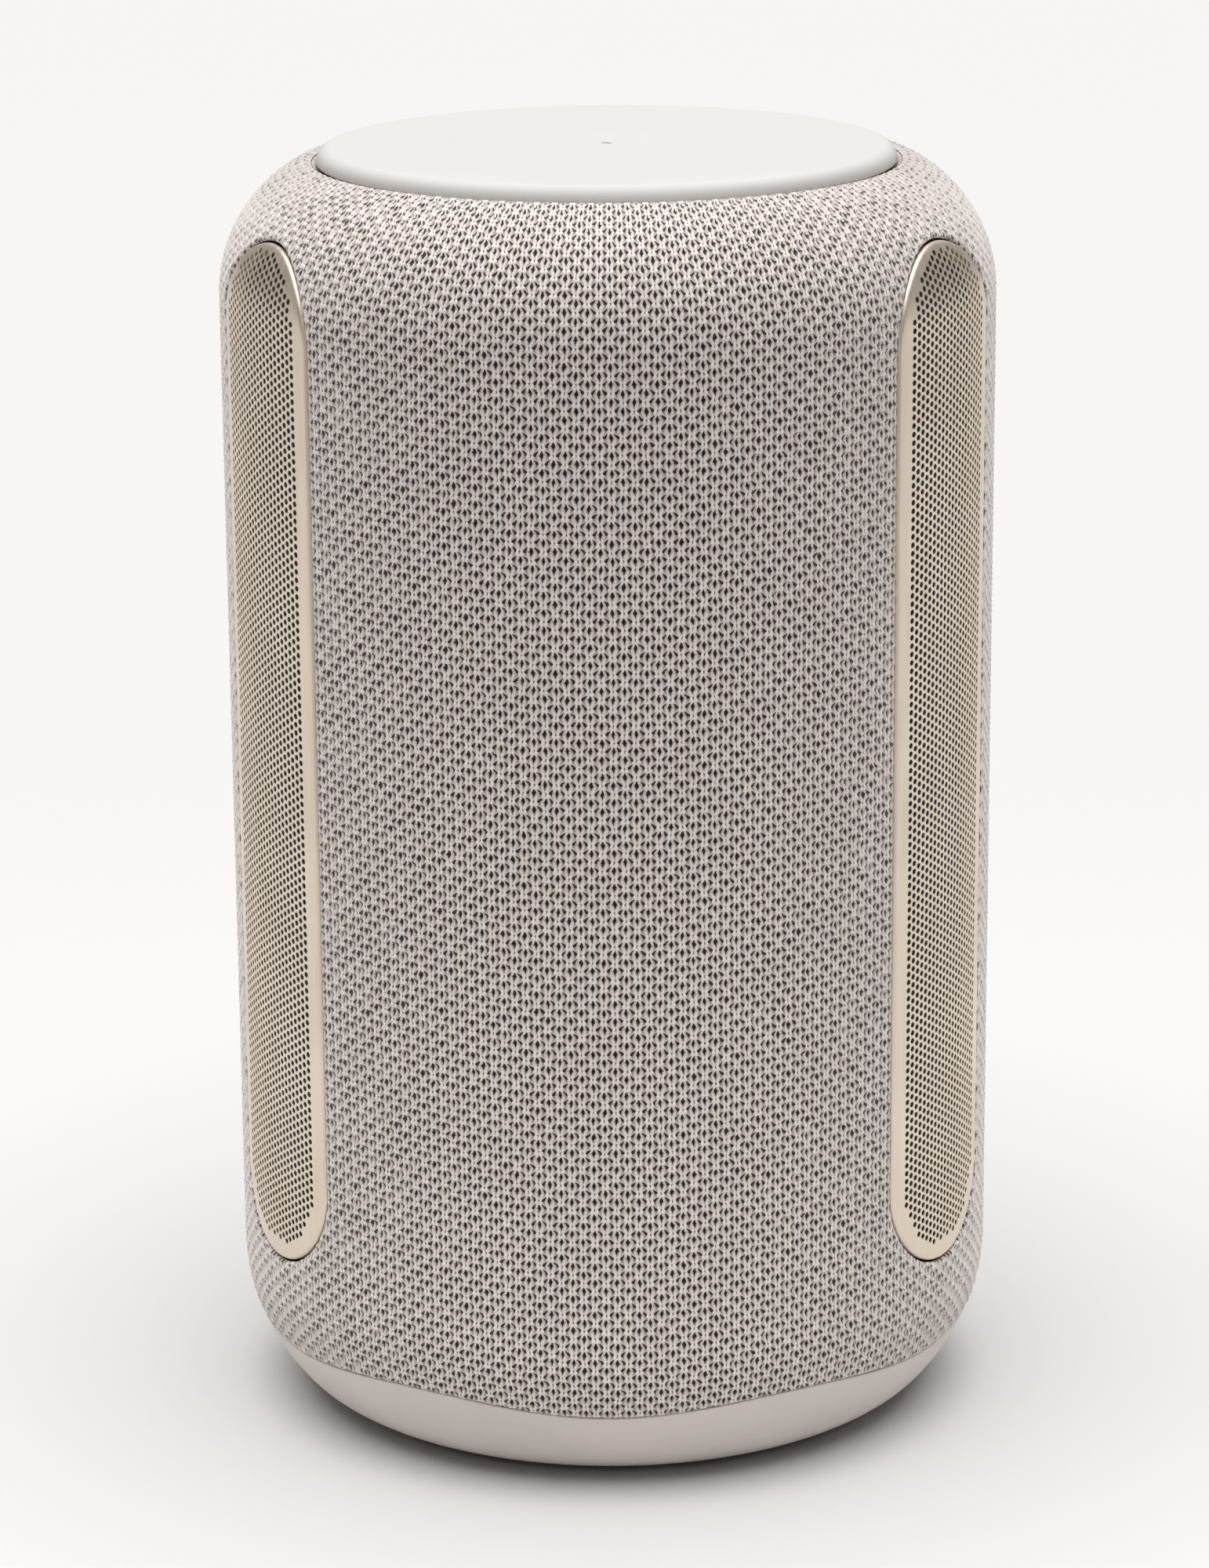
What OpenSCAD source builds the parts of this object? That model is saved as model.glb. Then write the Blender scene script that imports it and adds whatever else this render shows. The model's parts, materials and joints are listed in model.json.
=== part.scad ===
// Smart speaker: a knitted column with two perforated metal grilles.
// The front faces -Y, +Z is up, and the origin is under the centre of the foot.
// Azimuths are in degrees from the front, positive towards +X.

/* [Body] */
// Radius of the straight wall of the body
body_r = 74; // [66:0.5:92]
// Height from the ground to the top plate
body_h = 247; // [205:1:300]
// Radius of the rounded shoulder
shoulder_r = 27.5; // [22:0.5:33]
// How far in from the wall the base's curve comes
base_turn = 22; // [20:0.5:25]
// Height of the base's curve
base_rise = 30; // [28:0.5:33]
// Radius of the lower part of the base's curve
base_curve_r = 17.5; // [13:0.5:18.5]
// Height of the base's lower edge over the ground
base_lift = 0.3; // [0.2:0.1:1.2]
// Height of the base's floor over the ground
floor_z0 = 6.8; // [6:0.2:8]
// Height of the knit's lower hem
hem_z = 18; // [14:0.5:22]
// Thickness of the knitted sleeve
knit_t = 1; // [0.6:0.1:1.5]
// Wall of the frame that carries the sleeve
frame_t = 2.4; // [2:0.1:3]
// Wall of the moulded base
base_t = 2.4; // [2:0.1:3]

/* [Top] */
// Distance from the body's wall to the top plate's edge
top_inset = 19; // [16:0.5:24]
// Open ring between the top plate and the knit
top_gap = 0.9; // [0.7:0.1:1.6]
// Thickness of the top plate
top_plate_t = 3.5; // [3:0.1:4.5]
// Radius of the top plate's rounded rim
top_rim_r = 2.8; // [0.6:0.1:2.9]
// Radius of the status light's window
light_r = 0.9; // [0.6:0.1:1.4]

/* [Grilles] */
// Azimuth of each grille's middle
grille_az = 61; // [55:1:75]
// Half of a grille's width
grille_half_w = 18.2; // [14:0.1:22]
// Height of a grille's lower end
grille_z0 = 36; // [32:1:50]
// Distance from a grille's upper end to the top of the body
grille_top_drop = 13; // [10:0.5:20]
// Thickness of the grille sheet
grille_t = 1; // [0.6:0.1:1.4]
// Open line between a grille and the knit
grille_gap = 0.5; // [0.3:0.1:1]
// Plain border around the holes
grille_border = 3.4; // [2.5:0.1:5]
// Radius of a sound hole
grille_hole_r = 1.5; // [0.8:0.1:1.8]
// Distance between sound holes
grille_pitch = 7; // [6:0.5:10]

/* [Cabinet] */
// Space under the cabinet for the electronics
bay_h = 55; // [50:1:62]
// Space over the cabinet for the diffuser and the top
head_h = 46; // [44:1:54]
// Distance from the body's wall to the sealed cabinet
cabinet_gap = 16; // [14:0.5:19]
// Wall of the sealed cabinet
cabinet_t = 3; // [2.5:0.1:4]
// Thickness of the baffle plate
baffle_t = 4; // [3:0.1:5]
// Thickness of the cabinet gasket
gasket_t = 1; // [0.6:0.1:1.5]

/* [Woofer] */
// Distance from the body's wall to the woofer's rim
woofer_inset = 31; // [28:0.5:37]
// Free travel of the woofer cone each way
woofer_travel = 3; // [2:0.1:4]
// Radius of the voice coil former
coil_r = 10.5; // [9:0.1:12]

/* [Tweeters and radiators] */
// Radius of a tweeter's dome
dome_r = 8; // [6:0.5:9]
// Radius of a passive radiator's frame
radiator_r = 23; // [18:0.5:25]
// Free travel of a passive radiator each way
radiator_travel = 3; // [2:0.1:3.5]

/* [Rear panel] */
// Half width of the rear panel
panel_half_w = 31; // [28:0.5:38]
// Height of the rear panel's middle
panel_z = 41; // [38:1:46]
// Half height of the rear panel
panel_half_h = 11; // [10:0.5:14]
// Radius of the 3.5 mm audio socket
jack_r = 1.8; // [1.75:0.05:2]
// Length of the audio socket
jack_l = 14; // [12:0.5:16]
// Travel of the microphone switch
switch_travel = 3; // [2:0.1:4]
// Travel of the pairing button
button_travel = 0.6; // [0.4:0.1:1]

/* [Fits] */
// Clearance around pieces that are fitted by hand
fit = 0.2; // [0.1:0.05:0.3]
// Clearance around pieces that move
run = 0.35; // [0.3:0.05:0.5]

/* [Hidden] */

// Colours
KNIT = [0.80, 0.76, 0.72];
GOLD = [0.83, 0.77, 0.69];
PALE = [0.92, 0.92, 0.91];
GREY = [0.80, 0.80, 0.80];
DARK = [0.13, 0.13, 0.14];
BROWN = [0.36, 0.30, 0.26];
STEEL = [0.66, 0.67, 0.69];
BOARD = [0.07, 0.28, 0.16];
BRASS = [0.78, 0.63, 0.32];

// Heights of the body's own curves
base_arc_z = base_lift + base_rise;
base_side_r = (pow(base_turn, 2) + pow(base_rise, 2) - 2 * base_rise * base_curve_r) / (2 * (base_turn - base_curve_r));
base_side_c = [body_r - base_side_r, base_arc_z];
base_foot_c = [body_r - base_turn, base_lift + base_curve_r];
base_way = (base_foot_c - base_side_c) / norm(base_foot_c - base_side_c);
curve_lap = 8;
shoulder_z = body_h - shoulder_r;
seam = 0.4;
skin_gap = 0.1;

// Frame under the knit
frame_out = knit_t + skin_gap;
frame_in = frame_out + frame_t;
frame_z0 = hem_z - seam;
frame_in_r = body_r - frame_in;
top_plate_r = body_r - top_inset;
knit_top_r = top_plate_r + top_gap;

// Top, from the plate downwards
plate_z0 = body_h - top_plate_t;
ring_top_z = plate_z0 - 0.3;
deck_t = 3;
deck_top_z = ring_top_z - 4.2;
deck_z0 = deck_top_z - deck_t;
woofer_r = body_r - woofer_inset;
pillar_r = 3.2;
pillar_at_r = woofer_r + pillar_r + 2.4;
deck_r = max(top_plate_r + 3, pillar_at_r + 2);
board_t = 1.6;
touch_r = top_plate_r - 10;
touch_z0 = deck_top_z + 1;
hook_r = touch_r + 2;
hook_w = 12;
ring_in_r = touch_r + 5.4;
pillar_az = [25, -25, 125, -125];
board_screw_az = [0, 120, 240];
board_screw_r = touch_r - 4;

// Base
floor_top_z = floor_z0 + base_t;
cover_t = 2.5;
cover_r = body_r - 27;
service_r = cover_r - 7;
cover_screw_r = cover_r - 3.5;
foot_in_r = cover_r + 2.5;
foot_out_r = base_foot_c.x + 3;
recess_r = foot_out_r + 1;

// Cabinet and baffle
cabinet_r = body_r - cabinet_gap;
tub_z0 = floor_top_z + bay_h;
baffle_top_z = body_h - head_h;
baffle_z0 = baffle_top_z - baffle_t;
tub_top_z = baffle_z0 - gasket_t;
tub_flange_r = cabinet_r + 4.5;
tub_flange_t = 4;
baffle_r = frame_in_r - fit;
ledge_r = tub_flange_r + 1.3;
ledge_t = 4;
ledge_screw_r = (ledge_r + frame_in_r) / 2 - 0.6;
ledge_screw_az = [-12, 12, 115, 141, 219, 245];
tub_screw_r = cabinet_r + 2;
tub_screw_az = [-32, 32, 95, 150, 210, 265];
gasket_out_r = tub_screw_r - 2;
gasket_in_r = cabinet_r - cabinet_t - 2;

// Woofer, from the flange downwards
woofer_hole_r = woofer_r - 4.5;
woofer_flange_t = 2;
woofer_top_z = baffle_top_z + woofer_flange_t;
basket_t = 1.2;
spider_ledge_z = woofer_top_z - 17;
washer_top_z = woofer_top_z - 26;
washer_t = 4;
magnet_t = 13;
yoke_t = 5;
magnet_r = coil_r + 17;
pole_r = coil_r - 1;
washer_hole_r = coil_r + 1.2;
former_t = 0.3;
winding_t = 0.5;
cone_out_r = woofer_r - 13;
roll_r = (woofer_r - 6.5 - cone_out_r) / 2;
cone_lip_z = woofer_top_z - 3;
cone_neck_z = cone_lip_z - 11;
cone_t = 0.8;
woofer_screw_r = woofer_r - 2;

// Diffuser over the woofer
diffuser_r = touch_r;
flare_r = diffuser_r + 0.5;
diffuser_t = 2;

// Grilles
grille_z1 = body_h - grille_top_drop;
grille_in = 0.2;
slot_half_w = grille_half_w + grille_gap;
slot_z0 = grille_z0 - grille_gap;
slot_z1 = grille_z1 + grille_gap;
backing_in = frame_in + 0.1;
backing_t = 2;
backing_rim = 3;
backing_half_w = slot_half_w + backing_rim;
backing_near = sqrt(pow(body_r - backing_in - backing_t, 2) - pow(backing_half_w, 2)) - 0.5;
hole_reach = grille_half_w - grille_border - grille_hole_r;
row_step = grille_pitch * sin(60);

// Tweeters stand on the baffle behind the upper part of each grille
pod_half_w = dome_r + 4;
pod_d = 10;
pod_face_r = frame_in_r - 5.5;
pod_z1 = baffle_top_z + 2 * pod_half_w;
pod_mid_z = baffle_top_z + pod_half_w;
dome_travel = 0.3;

// Passive radiators lie on flats of the cabinet behind each grille
radiator_z = tub_z0 + 46;
radiator_hole_r = radiator_r - 5;
radiator_flange_t = 2.5;
flat_r = cabinet_r + 0.5;
plate_r = radiator_r - 11;
radiator_roll_r = (radiator_hole_r - plate_r) / 2;
radiator_screw_r = radiator_r - 2;
radiator_screw_az = [45, 135, 225, 315];

// Rear panel: the flat plate that the sockets sit in
panel_r = 4;
panel_t = 2.5;
panel_face_y = sqrt(pow(body_r, 2) - pow(panel_half_w, 2)) - 2.5;
panel_rim = 2;
inlet_x = -13;
inlet_half_w = 10;
inlet_half_h = 5.6;
inlet_d = 18;
cavity_d = 14;
cavity_r = 4.2;
pin_x = 4.3;
pin_r = 1.18;
pin_l = 11;
jack_x = 7;
jack_half = 4;
switch_x = 15.5;
switch_half_w = 2;
switch_half_h = 1.4;
button_x = 26;
button_r = 2.2;

// Boards in the base
power_board_x = 2 * (cover_r - 9);
power_board_y = 2 * (cover_r - 17);
power_board_z = 16;
power_post = [power_board_x / 2 - 9, power_board_y / 2 - 9];
main_board_x = 2 * (cover_r + 1);
main_board_y = 54;
main_board_z = floor_top_z + 35;
main_post = [main_board_x / 2 - 5, main_board_y / 2 - 6];
ribbon_half_w = 5;
ribbon_t = 0.6;
ribbon_y = tub_flange_r + 0.7;
ribbon_low_z = tub_z0 - 3.5;
ribbon_high_z = deck_z0 - 4;
ribbon_in_y = touch_r + 1.8;
ribbon_start_y = 18;
lead_xy = [[25, -14], [25, -10], [31, -14], [31, -10]];
terminal_xy = [28, -12];
terminal_r = 7;
lead_r = 0.7;

// Fasteners
screw_r = 1.5;
screw_head_r = 2.8;
screw_head_h = 1.8;
small_screw_r = 1;
small_head_r = 1.8;
small_head_h = 1.2;

// ---- shared shapes ----

// Half section of the body, its outside moved in by inset.
module body_half(inset) {
    translate([0, base_arc_z]) square([body_r - inset, shoulder_z - base_arc_z]);
    translate([body_r - shoulder_r, shoulder_z]) circle(shoulder_r - inset, $fn = 96);
    translate([0, shoulder_z]) square([body_r - shoulder_r, shoulder_r - inset]);
    intersection() {
        translate(base_side_c) circle(base_side_r - inset, $fn = 96);
        polygon([
            base_side_c, base_side_c + [0, curve_lap], base_side_c + [body_r, curve_lap], base_side_c + body_r * base_way
        ]);
    }
    translate(base_foot_c) circle(base_curve_r - inset, $fn = 96);
    polygon([
        [0, base_lift + inset], [base_foot_c.x, base_lift + inset], base_foot_c + [curve_lap, 0],
        base_side_c + [curve_lap, curve_lap], [0, base_arc_z + curve_lap]
    ]);
}

// Shell between two insets, from z0 up, open above the shoulder inside open_r.
module body_shell(outer, inner, z0, open_r) {
    rotate_extrude($fn = 180) difference() {
        body_half(outer);
        body_half(inner);
        square([body_r, z0]);
        if (open_r > 0) {
            translate([0, shoulder_z]) square([open_r, shoulder_r + 1]);
        }
    }
}

module at_azimuth(azimuth) {
    rotate([0, 0, azimuth]) children();
}

// Prism along -Y with the outline of a tall slot, from radius near to far.
module slot_prism(half_w, z0, z1, near, far) {
    translate([0, -near, 0]) rotate([90, 0, 0]) linear_extrude(far - near) {
        translate([-half_w, z0 + half_w]) square([2 * half_w, z1 - z0 - 2 * half_w]);
        translate([0, z0 + half_w]) circle(half_w, $fn = 64);
        translate([0, z1 - half_w]) circle(half_w, $fn = 64);
    }
}

// Prism along +Y with the outline of the rear panel, grown by extra, from near to far.
module panel_prism(extra, near, far) {
    half_w = panel_half_w + extra;
    half_h = panel_half_h + extra;
    corner = panel_r + extra;
    translate([0, far, panel_z]) rotate([90, 0, 0]) linear_extrude(far - near) {
        square([2 * half_w, 2 * (half_h - corner)], center = true);
        square([2 * (half_w - corner), 2 * half_h], center = true);
        for (sx = [-1, 1], sz = [-1, 1]) {
            translate([sx * (half_w - corner), sz * (half_h - corner)]) circle(corner, $fn = 32);
        }
    }
}

// Cylinder along -Y from radius near to far, at a height.
module spoke(r, z, near, far) {
    translate([0, -near, z]) rotate([90, 0, 0]) cylinder(r = r, h = far - near, $fn = 48);
}

// Upright bolt circle: children at each azimuth of a list, out at radius r.
module around(azimuths, r) {
    for (a = azimuths) {
        at_azimuth(a) translate([0, -r, 0]) children();
    }
}

// Pan-head screw, its head's underside at z = 0, its shank down.
module screw(length) {
    rotate_extrude($fn = 32) {
        translate([0, -length]) square([screw_r, length]);
        difference() {
            square([screw_head_r, screw_head_h]);
            translate([0, screw_head_h - 0.9]) square([1.1, 1]);
        }
    }
}

module small_screw(length) {
    rotate_extrude($fn = 32) {
        translate([0, -length]) square([small_screw_r, length]);
        difference() {
            square([small_head_r, small_head_h]);
            translate([0, small_head_h - 0.6]) square([0.7, 1]);
        }
    }
}

// Hole for a screw, from z = 0 down.
module screw_hole(length) {
    translate([0, 0, -length]) cylinder(r = screw_r + 0.05, h = length + 0.01, $fn = 32);
}

module small_hole(length) {
    translate([0, 0, -length]) cylinder(r = small_screw_r + 0.05, h = length + 0.01, $fn = 32);
}

// ---- top ----

module top_plate() {
    color(PALE) difference() {
        union() {
            rotate_extrude($fn = 128) {
                translate([0, plate_z0]) square([top_plate_r, top_plate_t - top_rim_r]);
                translate([0, plate_z0]) square([top_plate_r - top_rim_r, top_plate_t]);
                intersection() {
                    translate([top_plate_r - top_rim_r, body_h - top_rim_r]) circle(top_rim_r, $fn = 32);
                    translate([0, plate_z0]) square([top_plate_r, top_plate_t]);
                }
            }
            for (a = [-60, 60, 180]) {
                at_azimuth(a + 30) translate([-hook_w / 2, -hook_r - 1.5, deck_top_z])
                    cube([hook_w, 1.5, plate_z0 - deck_top_z + 1]);
            }
        }
        translate([0, 0, plate_z0 - 1]) cylinder(r = light_r + skin_gap, h = top_plate_t + 2, $fn = 32);
    }
}

module top_ring() {
    color(BROWN) rotate_extrude($fn = 128) {
        translate([ring_in_r, deck_top_z]) square([knit_top_r - fit - ring_in_r, ring_top_z - deck_top_z]);
    }
}

module light_pipe() {
    color(PALE) {
        translate([0, 0, touch_z0 + board_t + 0.8])
            cylinder(r = light_r, h = body_h - touch_z0 - board_t - 0.8, $fn = 32);
    }
}

module status_led() {
    color(PALE) translate([-1, -1, touch_z0 + board_t]) cube([2, 2, 0.8]);
}

module touch_board() {
    color(BOARD) difference() {
        union() {
            translate([0, 0, touch_z0]) cylinder(r = touch_r, h = board_t, $fn = 96);
            around(board_screw_az, board_screw_r) translate([0, 0, deck_top_z])
                cylinder(r = 2.5, h = touch_z0 - deck_top_z + 0.5, $fn = 32);
        }
        around(board_screw_az, board_screw_r) translate([0, 0, touch_z0 + board_t]) small_hole(board_t + 2);
    }
}

module microphones() {
    color(STEEL) around([45, 135, 225, 315], touch_r - 5) translate([-1.5, -2, touch_z0 + board_t])
        cube([3, 4, 1]);
}

module top_deck() {
    color(DARK) difference() {
        translate([0, 0, deck_z0]) cylinder(r = deck_r, h = deck_t, $fn = 96);
        translate([-ribbon_half_w - 1, ribbon_in_y - 0.7, deck_z0 - 1])
            cube([2 * ribbon_half_w + 2, ribbon_t + 1.4, deck_t + 2]);
        around(board_screw_az, board_screw_r) translate([0, 0, deck_top_z]) small_hole(deck_t + 1);
        around(pillar_az, pillar_at_r) translate([0, 0, deck_top_z]) screw_hole(deck_t + 1);
        around(pillar_az, pillar_at_r) translate([0, 0, deck_top_z - screw_head_h])
            cylinder(r = screw_head_r + 0.1, h = deck_t, $fn = 32);
    }
}

module deck_pillars() {
    color(DARK) difference() {
        around(pillar_az, pillar_at_r) translate([0, 0, baffle_top_z])
            cylinder(r = pillar_r, h = deck_z0 - baffle_top_z, $fn = 32);
        around(pillar_az, pillar_at_r) translate([0, 0, deck_z0]) screw_hole(8);
        around(pillar_az, pillar_at_r) translate([0, 0, baffle_top_z + 8]) screw_hole(8);
    }
}

// Half section of the flared cone, filled up to the deck.
module flare_half(reach) {
    difference() {
        translate([0, woofer_top_z + 8]) square([reach, deck_z0 - woofer_top_z - 8]);
        translate([diffuser_r + 2, deck_z0 - 1 - flare_r]) circle(flare_r, $fn = 128);
    }
}

module diffuser() {
    color(DARK) rotate_extrude($fn = 96) difference() {
        flare_half(diffuser_r);
        translate([0, diffuser_t]) flare_half(diffuser_r - 3);
    }
}

// ---- sleeve, frame and grilles ----

module slot_cuts(extra) {
    for (side = [-1, 1]) {
        at_azimuth(side * grille_az)
            slot_prism(slot_half_w + extra, slot_z0 - extra, slot_z1 + extra, body_r / 2, body_r + 1);
    }
}

// Room for the two grille backings, from radius near outwards.
module backing_cuts(near) {
    for (side = [-1, 1]) {
        at_azimuth(side * grille_az) slot_prism(backing_half_w + fit, slot_z0 - backing_rim - fit,
            slot_z1 + backing_rim + fit, near, body_r);
    }
}

module fabric_sleeve() {
    color(KNIT) difference() {
        body_shell(0, knit_t, hem_z, knit_top_r);
        slot_cuts(0);
        panel_prism(fit, body_r / 2, body_r + 1);
    }
}

// Rounded sound windows of the frame: two rows under the ledge and one over the baffle.
window_half_w = 9;
window_az = [-24, 0, 24, 102, 128, 154, 180, 206, 232, 258];
window_bar = 8;
window_low_z = panel_z + panel_half_h + window_bar;
window_high_z = baffle_z0 - ledge_t - window_bar / 2;
window_mid_z = (window_low_z + window_high_z) / 2;
window_rows = [
    [window_low_z, window_mid_z - window_bar / 2],
    [window_mid_z + window_bar / 2, window_high_z],
    [baffle_top_z + window_bar / 2, grille_z1 - window_bar / 2]
];

module sleeve_frame() {
    difference() {
        union() {
            body_shell(frame_out, frame_in, frame_z0, knit_top_r);
            difference() {
                rotate_extrude($fn = 128) translate([ledge_r, baffle_z0 - ledge_t])
                    square([frame_in_r + frame_t / 2 - ledge_r, ledge_t]);
                backing_cuts(body_r / 2);
            }
        }
        slot_cuts(0);
        panel_prism(fit, body_r / 2, body_r + 1);
        for (a = window_az, row = window_rows) {
            at_azimuth(a) slot_prism(window_half_w, row[0], row[1], body_r / 2 + 20, body_r + 1);
        }
        around(ledge_screw_az, ledge_screw_r) translate([0, 0, baffle_z0]) screw_hole(ledge_t + 1);
        translate([-ribbon_half_w - 1, 0, baffle_z0 - ledge_t - 1])
            cube([2 * ribbon_half_w + 2, ribbon_y + 1.3, ledge_t + 2]);
    }
}

// Half space in front of (side = -1) or behind (side = 1) the frame's joint.
module frame_side(side) {
    translate([-body_r, side > 0 ? skin_gap / 2 : -body_r - skin_gap / 2, 0]) cube([2 * body_r, body_r, body_h]);
}

module front_frame() {
    color(DARK) intersection() {
        sleeve_frame();
        frame_side(-1);
    }
}

module rear_frame() {
    color(DARK) intersection() {
        sleeve_frame();
        frame_side(1);
    }
}

// Row and column offsets of the sound holes, kept clear of the border.
hole_rows = floor((grille_z1 - grille_z0) / 2 / row_step);
hole_columns = floor(grille_half_w / grille_pitch);
grille_mid_z = (grille_z0 + grille_z1) / 2;
end_arc = (grille_z1 - grille_z0) / 2 - grille_half_w;

function shift(row) = (abs(row) % 2) * grille_pitch / 2;
function inside(x, z) = norm([x, max(0, abs(z) - end_arc)]) <= hole_reach;

module grille() {
    difference() {
        union() {
            intersection() {
                body_shell(grille_in, grille_in + grille_t, hem_z, 0);
                slot_prism(grille_half_w, grille_z0, grille_z1, body_r / 3, body_r + 1);
            }
            intersection() {
                body_shell(grille_in, backing_in - skin_gap, hem_z, 0);
                difference() {
                    slot_prism(grille_half_w, grille_z0, grille_z1, body_r / 3, body_r + 1);
                    slot_prism(grille_half_w - grille_t, grille_z0 + grille_t, grille_z1 - grille_t,
                        body_r / 4, body_r + 2);
                }
            }
        }
        for (row = [-hole_rows : hole_rows], column = [-hole_columns - 1 : hole_columns]) {
            x = column * grille_pitch + shift(row);
            z = row * row_step;
            if (inside(x, z)) {
                translate([x, 0, 0])
                    spoke(grille_hole_r, grille_mid_z + z, body_r / 2, body_r + 1);
            }
        }
    }
}

module grille_left() {
    color(GOLD) at_azimuth(-grille_az) grille();
}

module grille_right() {
    color(GOLD) at_azimuth(grille_az) grille();
}

// Cloth-faced carrier behind a grille, clamped to the inside of the frame.
module backing() {
    intersection() {
        body_shell(backing_in, backing_in + backing_t, hem_z, 0);
        slot_prism(backing_half_w, slot_z0 - backing_rim, slot_z1 + backing_rim,
            body_r / 3, body_r + 1);
    }
}

module grille_backing_left() {
    color(DARK) at_azimuth(-grille_az) backing();
}

module grille_backing_right() {
    color(DARK) at_azimuth(grille_az) backing();
}

// ---- sealed cabinet ----

module cabinet_tub() {
    color(DARK) difference() {
        union() {
            translate([0, 0, tub_z0]) cylinder(r = cabinet_r, h = tub_top_z - tub_z0, $fn = 128);
            translate([0, 0, tub_top_z - tub_flange_t]) cylinder(r = tub_flange_r, h = tub_flange_t, $fn = 128);
            for (side = [-1, 1]) {
                at_azimuth(side * grille_az) spoke(radiator_r + 1, radiator_z, cabinet_r / 2, flat_r);
            }
        }
        translate([0, 0, tub_z0 + cabinet_t])
            cylinder(r = cabinet_r - cabinet_t, h = tub_top_z - tub_z0, $fn = 128);
        for (side = [-1, 1]) {
            at_azimuth(side * grille_az) spoke(radiator_hole_r, radiator_z, cabinet_r / 4, cabinet_r + 2);
            at_azimuth(side * grille_az) radiator_holes(flat_r, 4);
        }
        around(tub_screw_az, tub_screw_r) translate([0, 0, tub_top_z]) screw_hole(tub_flange_t + 1);
        translate([terminal_xy.x, terminal_xy.y, tub_z0 - 1]) cylinder(r = terminal_r - 2.5, h = cabinet_t + 2, $fn = 32);
    }
}

module cabinet_gasket() {
    color(BROWN) difference() {
        translate([0, 0, tub_top_z]) cylinder(r = gasket_out_r, h = gasket_t, $fn = 128);
        translate([0, 0, tub_top_z - 1]) cylinder(r = gasket_in_r, h = gasket_t + 2, $fn = 128);
    }
}

module baffle_plate() {
    color(DARK) difference() {
        translate([0, 0, baffle_z0]) cylinder(r = baffle_r, h = baffle_t, $fn = 128);
        translate([0, 0, baffle_z0 - 1]) cylinder(r = woofer_hole_r, h = baffle_t + 2, $fn = 96);
        backing_cuts(backing_near);
        translate([-ribbon_half_w - 1, ribbon_y - 1, baffle_z0 - 1]) cube([2 * ribbon_half_w + 2, 20, baffle_t + 2]);
        around(tub_screw_az, tub_screw_r) translate([0, 0, baffle_top_z]) screw_hole(baffle_t + 1);
        around(ledge_screw_az, ledge_screw_r) translate([0, 0, baffle_top_z]) screw_hole(baffle_t + 1);
        around(pillar_az, pillar_at_r) translate([0, 0, baffle_top_z]) screw_hole(baffle_t + 1);
        around([45, 135, 225, 315], woofer_screw_r) translate([0, 0, baffle_top_z]) small_hole(baffle_t + 1);
    }
}

// ---- woofer ----

module woofer_basket() {
    wall_r = woofer_hole_r - 0.4;
    color(DARK) difference() {
        rotate_extrude($fn = 96) {
            translate([wall_r - 1.6, baffle_top_z]) square([woofer_r - wall_r + 1.6, woofer_flange_t]);
            translate([wall_r - 1.6, spider_ledge_z]) square([1.6, baffle_top_z - spider_ledge_z]);
            translate([magnet_r - 3, spider_ledge_z]) square([wall_r - magnet_r + 3, basket_t]);
            translate([magnet_r - 3, washer_top_z]) square([basket_t, spider_ledge_z - washer_top_z]);
            translate([washer_hole_r + 2, washer_top_z]) square([magnet_r - 1.8 - washer_hole_r - 2, basket_t]);
        }
        for (a = [0 : 60 : 300]) {
            at_azimuth(a) spoke(4.5, spider_ledge_z + 8, magnet_r, woofer_hole_r + 1);
        }
        around([45, 135, 225, 315], woofer_screw_r) translate([0, 0, woofer_top_z + 1]) small_hole(6);
    }
}

// Half-roll edge; its inner lip is glued on the cone and its outer lip on the flange.
module woofer_surround() {
    crown_r = cone_out_r + roll_r;
    color(DARK) rotate_extrude($fn = 96) {
        difference() {
            translate([crown_r, woofer_top_z]) circle(roll_r, $fn = 48);
            translate([crown_r, woofer_top_z]) circle(roll_r - 0.6, $fn = 48);
            translate([0, woofer_top_z - woofer_r]) square([woofer_r, woofer_r]);
        }
        translate([crown_r + roll_r - 0.6, woofer_top_z]) square([2.5, 0.6]);
        translate([cone_out_r, cone_lip_z + cone_t]) square([0.6, woofer_top_z - cone_lip_z - cone_t]);
        translate([cone_out_r - 2.4, cone_lip_z + cone_t]) square([3, 0.6]);
    }
}

// Flat corrugated centring ring between the basket's ledge and the coil former.
module woofer_spider() {
    inner = coil_r + 0.1;
    outer = woofer_hole_r - 3.5;
    waves = 4;
    step = (outer - inner - 4) / waves;
    z = spider_ledge_z + basket_t;
    color([0.75, 0.62, 0.35]) rotate_extrude($fn = 96) {
        translate([outer - 2.4, z]) square([2.4, 0.5]);
        translate([inner, z]) square([1.8, 0.5]);
        for (k = [0 : waves - 1]) {
            translate([inner + 1.7 + k * step, z]) square([step + 0.1, 0.5]);
            translate([inner + 1.7 + (k + 0.35) * step, z + 0.4]) square([step * 0.35, 0.9]);
        }
    }
}

module woofer_cone() {
    color([0.22, 0.22, 0.23]) rotate_extrude($fn = 96) {
        translate([cone_out_r - 3, cone_lip_z]) square([3, cone_t]);
        polygon([
            [coil_r + 0.05, cone_neck_z],
            [coil_r + 1.3, cone_neck_z],
            [cone_out_r - 2, cone_lip_z],
            [cone_out_r - 3.2, cone_lip_z + cone_t],
            [coil_r + 0.05, cone_neck_z + cone_t]
        ]);
    }
}

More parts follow.
